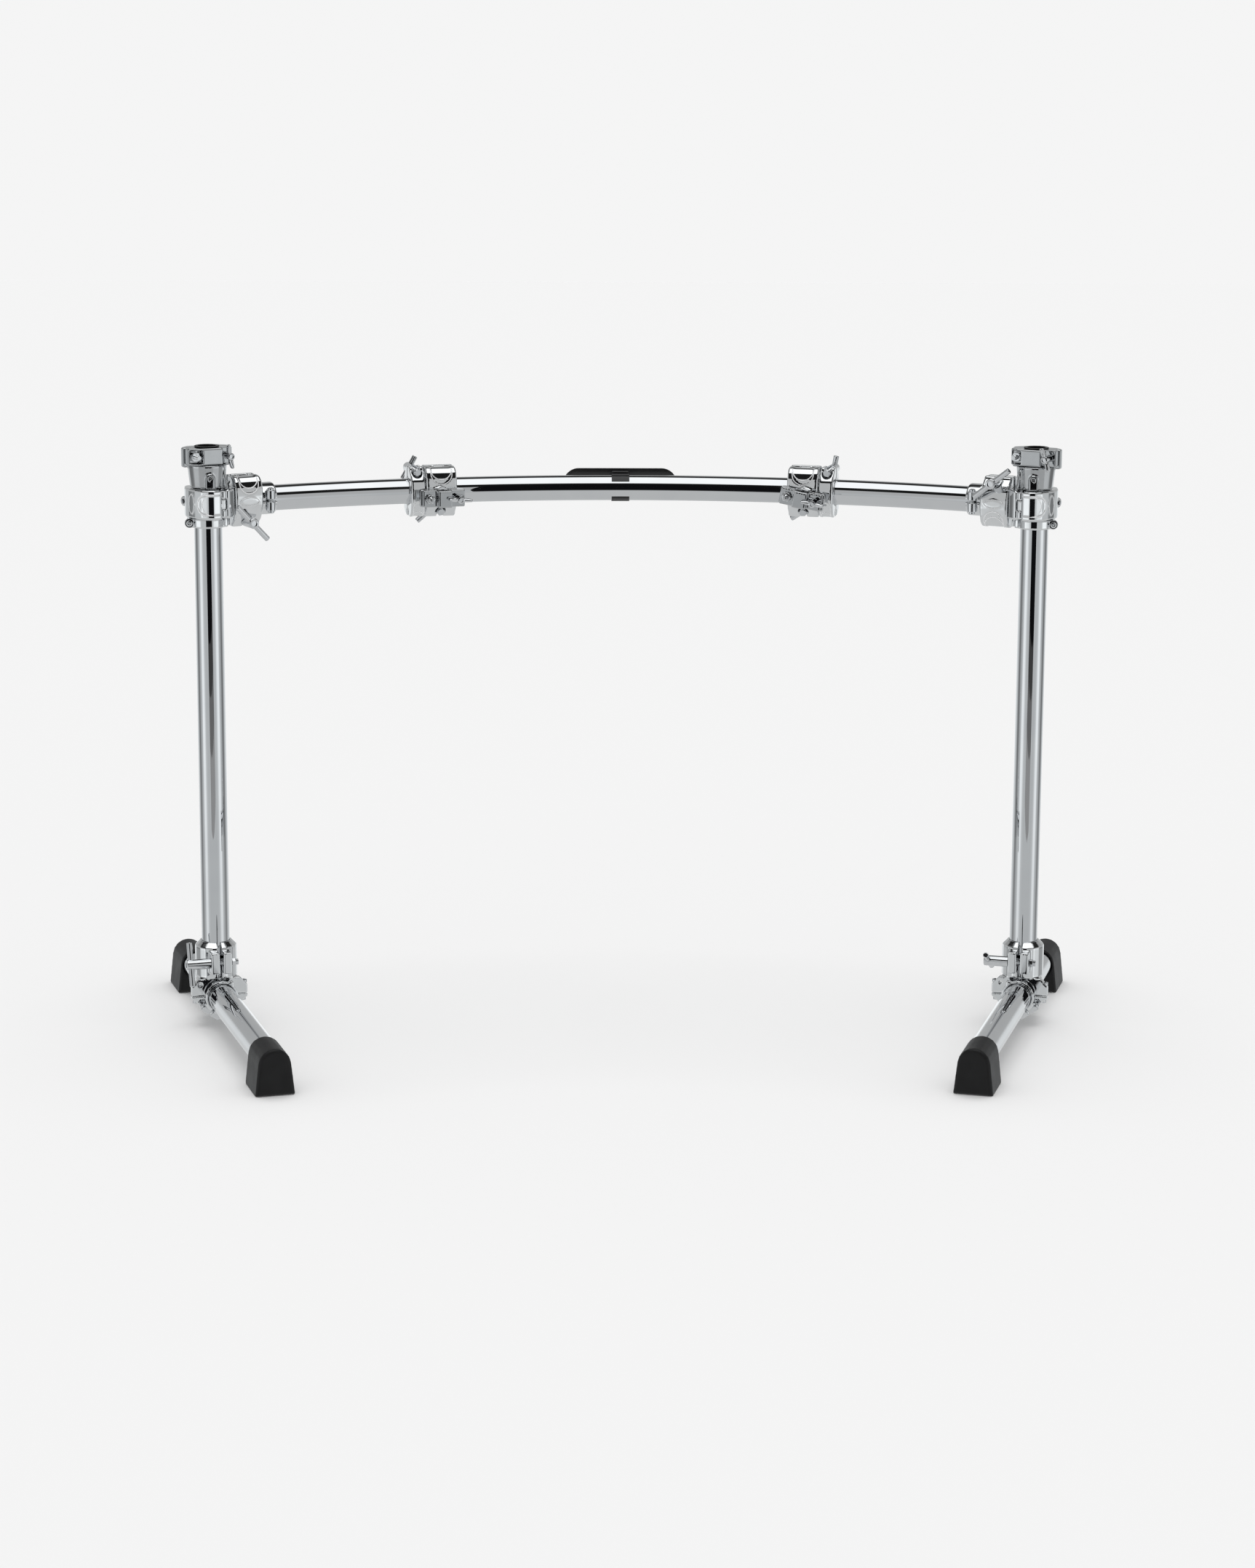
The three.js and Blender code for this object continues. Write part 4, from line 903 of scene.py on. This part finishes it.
# the floor: seen flat and pale by the camera, it takes the shadows, and the metal sees the studio past it
deselectAll()
bpy.ops.mesh.primitive_plane_add(size=studio["floorSize"], location=(0, 0, -studio["floorDrop"]))
floor = named(bpy.context.object, "studioFloor")
settle(floor)
floorPaint = bpy.data.materials.new("floorPaint")
floorPaint.use_nodes = True
paint = floorPaint.node_tree.nodes["Principled BSDF"].inputs
paint["Roughness"].default_value = studio["floorRoughness"]
paint["Specular IOR Level"].default_value = 0.0
paint["Base Color"].default_value = studio["floor"]
floor.data.materials.append(floorPaint)
floor.visible_glossy = False

# what the metal sees: grey ground, walls that change round the room, a dark strip, a white ceiling
reflections = {
    "front": [  # from straight down to straight up, towards the player
        (0.0, 0.62), (0.30, 0.62), (0.36, 0.55), (0.708, 0.53),
        (0.722, 0.012), (0.864, 0.012), (0.884, 1.34), (1.0, 1.34),
    ],
    "back": [
        (0.0, 0.62), (0.30, 0.62), (0.36, 0.55), (0.52, 0.50), (0.66, 0.48), (0.73, 0.40),
        (0.80, 0.12), (0.84, 0.02), (0.938, 0.03), (0.956, 1.34), (1.0, 1.34),
    ],
    "round": [  # round the room at the height of the band, from the player to the back
        (0.0, 0.59), (0.17, 0.59), (0.25, 0.67), (0.31, 1.07), (0.38, 1.14), (0.44, 0.65),
        (0.53, 0.42), (0.60, 0.16), (0.66, 0.37), (0.75, 0.74), (1.0, 1.05),
    ],
    "band": [(0.0, 0.0), (0.31, 0.0), (0.40, 1.0), (0.47, 1.0), (0.53, 0.0), (1.0, 0.0)],
    "tint": (0.985, 1.0, 1.0), "roundTint": (0.97, 1.0, 1.01), "turnOver": 0.15,
}
world = bpy.data.worlds.new("studioWorld")
bpy.context.scene.world = world
world.use_nodes = True
sky = world.node_tree


def toneRamp(label, position, tint):
    stops = reflections[label]
    node = addNode(sky, "ShaderNodeValToRGB", {"Fac": position}, label=label)
    marks = node.color_ramp.elements
    marks[0].position, marks[1].position = stops[0][0], stops[-1][0]
    for place, level in stops[1:-1]:
        marks.new(place)
    for mark, (place, level) in zip(marks, stops):
        mark.color = (level * tint[0], level * tint[1], level * tint[2], 1)
    return node.outputs["Color"]


rays = addNode(sky, "ShaderNodeLightPath").outputs
view = addNode(sky, "ShaderNodeTexCoord").outputs["Generated"]
towards = addNode(sky, "ShaderNodeSeparateXYZ", {"Vector": view}).outputs
height = addNode(sky, "ShaderNodeMapRange", {"Value": towards["Z"], "From Min": -1}).outputs["Result"]
behind = addNode(sky, "ShaderNodeMapRange", {
    "Value": towards["Y"], "From Min": -reflections["turnOver"], "From Max": reflections["turnOver"],
}).outputs["Result"]
across = calculated(sky, "ABSOLUTE", towards["X"])
ahead = calculated(sky, "MULTIPLY", towards["Y"], -1)
share = calculated(sky, "DIVIDE", calculated(sky, "ARCTAN2", across, ahead), math.pi)
frontTones = toneRamp("front", height, reflections["tint"])
backTones = toneRamp("back", height, reflections["tint"])
roundTones = toneRamp("round", share, reflections["roundTint"])
bandMask = toneRamp("band", height, (1, 1, 1))
room = mixed(sky, bandMask, mixed(sky, behind, frontTones, backTones), roundTones)
glossy = mixed(sky, rays["Is Glossy Ray"], studio["fill"], room)
seen = mixed(sky, rays["Is Camera Ray"], glossy, studio["backdrop"])
sky.links.new(seen, sky.nodes["Background"].inputs["Color"])

# the dark shape in front of the rack that draws the black bands on the chrome, paler towards its foot
cards = {
    "y": -4.8, "width": 3.3, "top": 4.6, "bottom": -0.34, "tone": (0.006, 0.006, 0.007),
    "fades": ((0.14, 0.06), (0.16, 0.17), (0.22, 0.34)),  # height of each strip and its grey
}


def flatCard(name, top, bottom, colour):
    # seen by the metal alone
    deselectAll()
    location = (0, cards["y"], (top + bottom) / 2)
    bpy.ops.mesh.primitive_plane_add(size=1, location=location, rotation=(math.radians(90), 0, 0))
    card = named(bpy.context.object, name)
    card.scale = (cards["width"], top - bottom, 1)
    settle(card)
    material = bpy.data.materials.new(name)
    material.use_nodes = True
    tree = material.node_tree
    tree.nodes.remove(tree.nodes["Principled BSDF"])
    glow = addNode(tree, "ShaderNodeEmission", {"Color": (*colour, 1), "Strength": 1.0})
    tree.links.new(glow.outputs["Emission"], tree.nodes["Material Output"].inputs["Surface"])
    card.data.materials.append(material)
    card.visible_camera = False
    card.visible_diffuse = False
    card.visible_shadow = False
    card.visible_transmission = False


flatCard("frontCard", cards["top"], cards["bottom"], cards["tone"])
edge = cards["bottom"]
for index, (depth, level) in enumerate(cards["fades"]):
    flatCard("frontFade" + str(index), edge, edge - depth, (level, level, level))
    edge -= depth

# one very soft sun from above keeps the floor even
sun = bpy.data.lights.new("softTop", "SUN")
sun.energy = studio["sun"]
sun.angle = math.radians(studio["sunAngle"])
topLight = bpy.data.objects.new("softTop", sun)
bpy.context.scene.collection.objects.link(topLight)
topLight.rotation_euler = (math.radians(studio["sunLean"]), 0, 0)
topLight.visible_glossy = False

# the camera stands where the photograph was taken from; its angles in degrees
photo = {
    "place": (-0.0943, -5.2391, 1.4673), "shiftY": 0.08363, "pitch": 12.21, "yaw": 1.129, "roll": 0.269,
    "lens": 89.65, "sensor": 36, "clipEnd": 60,
}
pitch, yaw, roll = (math.radians(photo[key]) for key in ("pitch", "yaw", "roll"))
forward = Vector((math.sin(yaw) * math.cos(pitch), math.cos(yaw) * math.cos(pitch), -math.sin(pitch)))
levelRight = Vector((math.cos(yaw), -math.sin(yaw), 0))
levelUp = levelRight.cross(forward)
rightward = levelRight * math.cos(roll) + levelUp * math.sin(roll)
upward = levelUp * math.cos(roll) - levelRight * math.sin(roll)
cameraData = bpy.data.cameras.new("photoCamera")
cameraData.sensor_fit = "VERTICAL"
cameraData.sensor_height = photo["sensor"]
cameraData.lens = photo["lens"]
cameraData.clip_end = photo["clipEnd"]
photoCamera = bpy.data.objects.new("photoCamera", cameraData)
bpy.context.scene.collection.objects.link(photoCamera)
place = Vector(photo["place"]) + Vector((0, photo["shiftY"], 0))
photoCamera.matrix_world = Matrix((
    (rightward.x, upward.x, -forward.x, place.x),
    (rightward.y, upward.y, -forward.y, place.y),
    (rightward.z, upward.z, -forward.z, place.z),
    (0, 0, 0, 1),
))
bpy.context.scene.camera = photoCamera
bpy.context.scene.view_settings.view_transform = "Standard"
print("studio ready")

deselectAll()
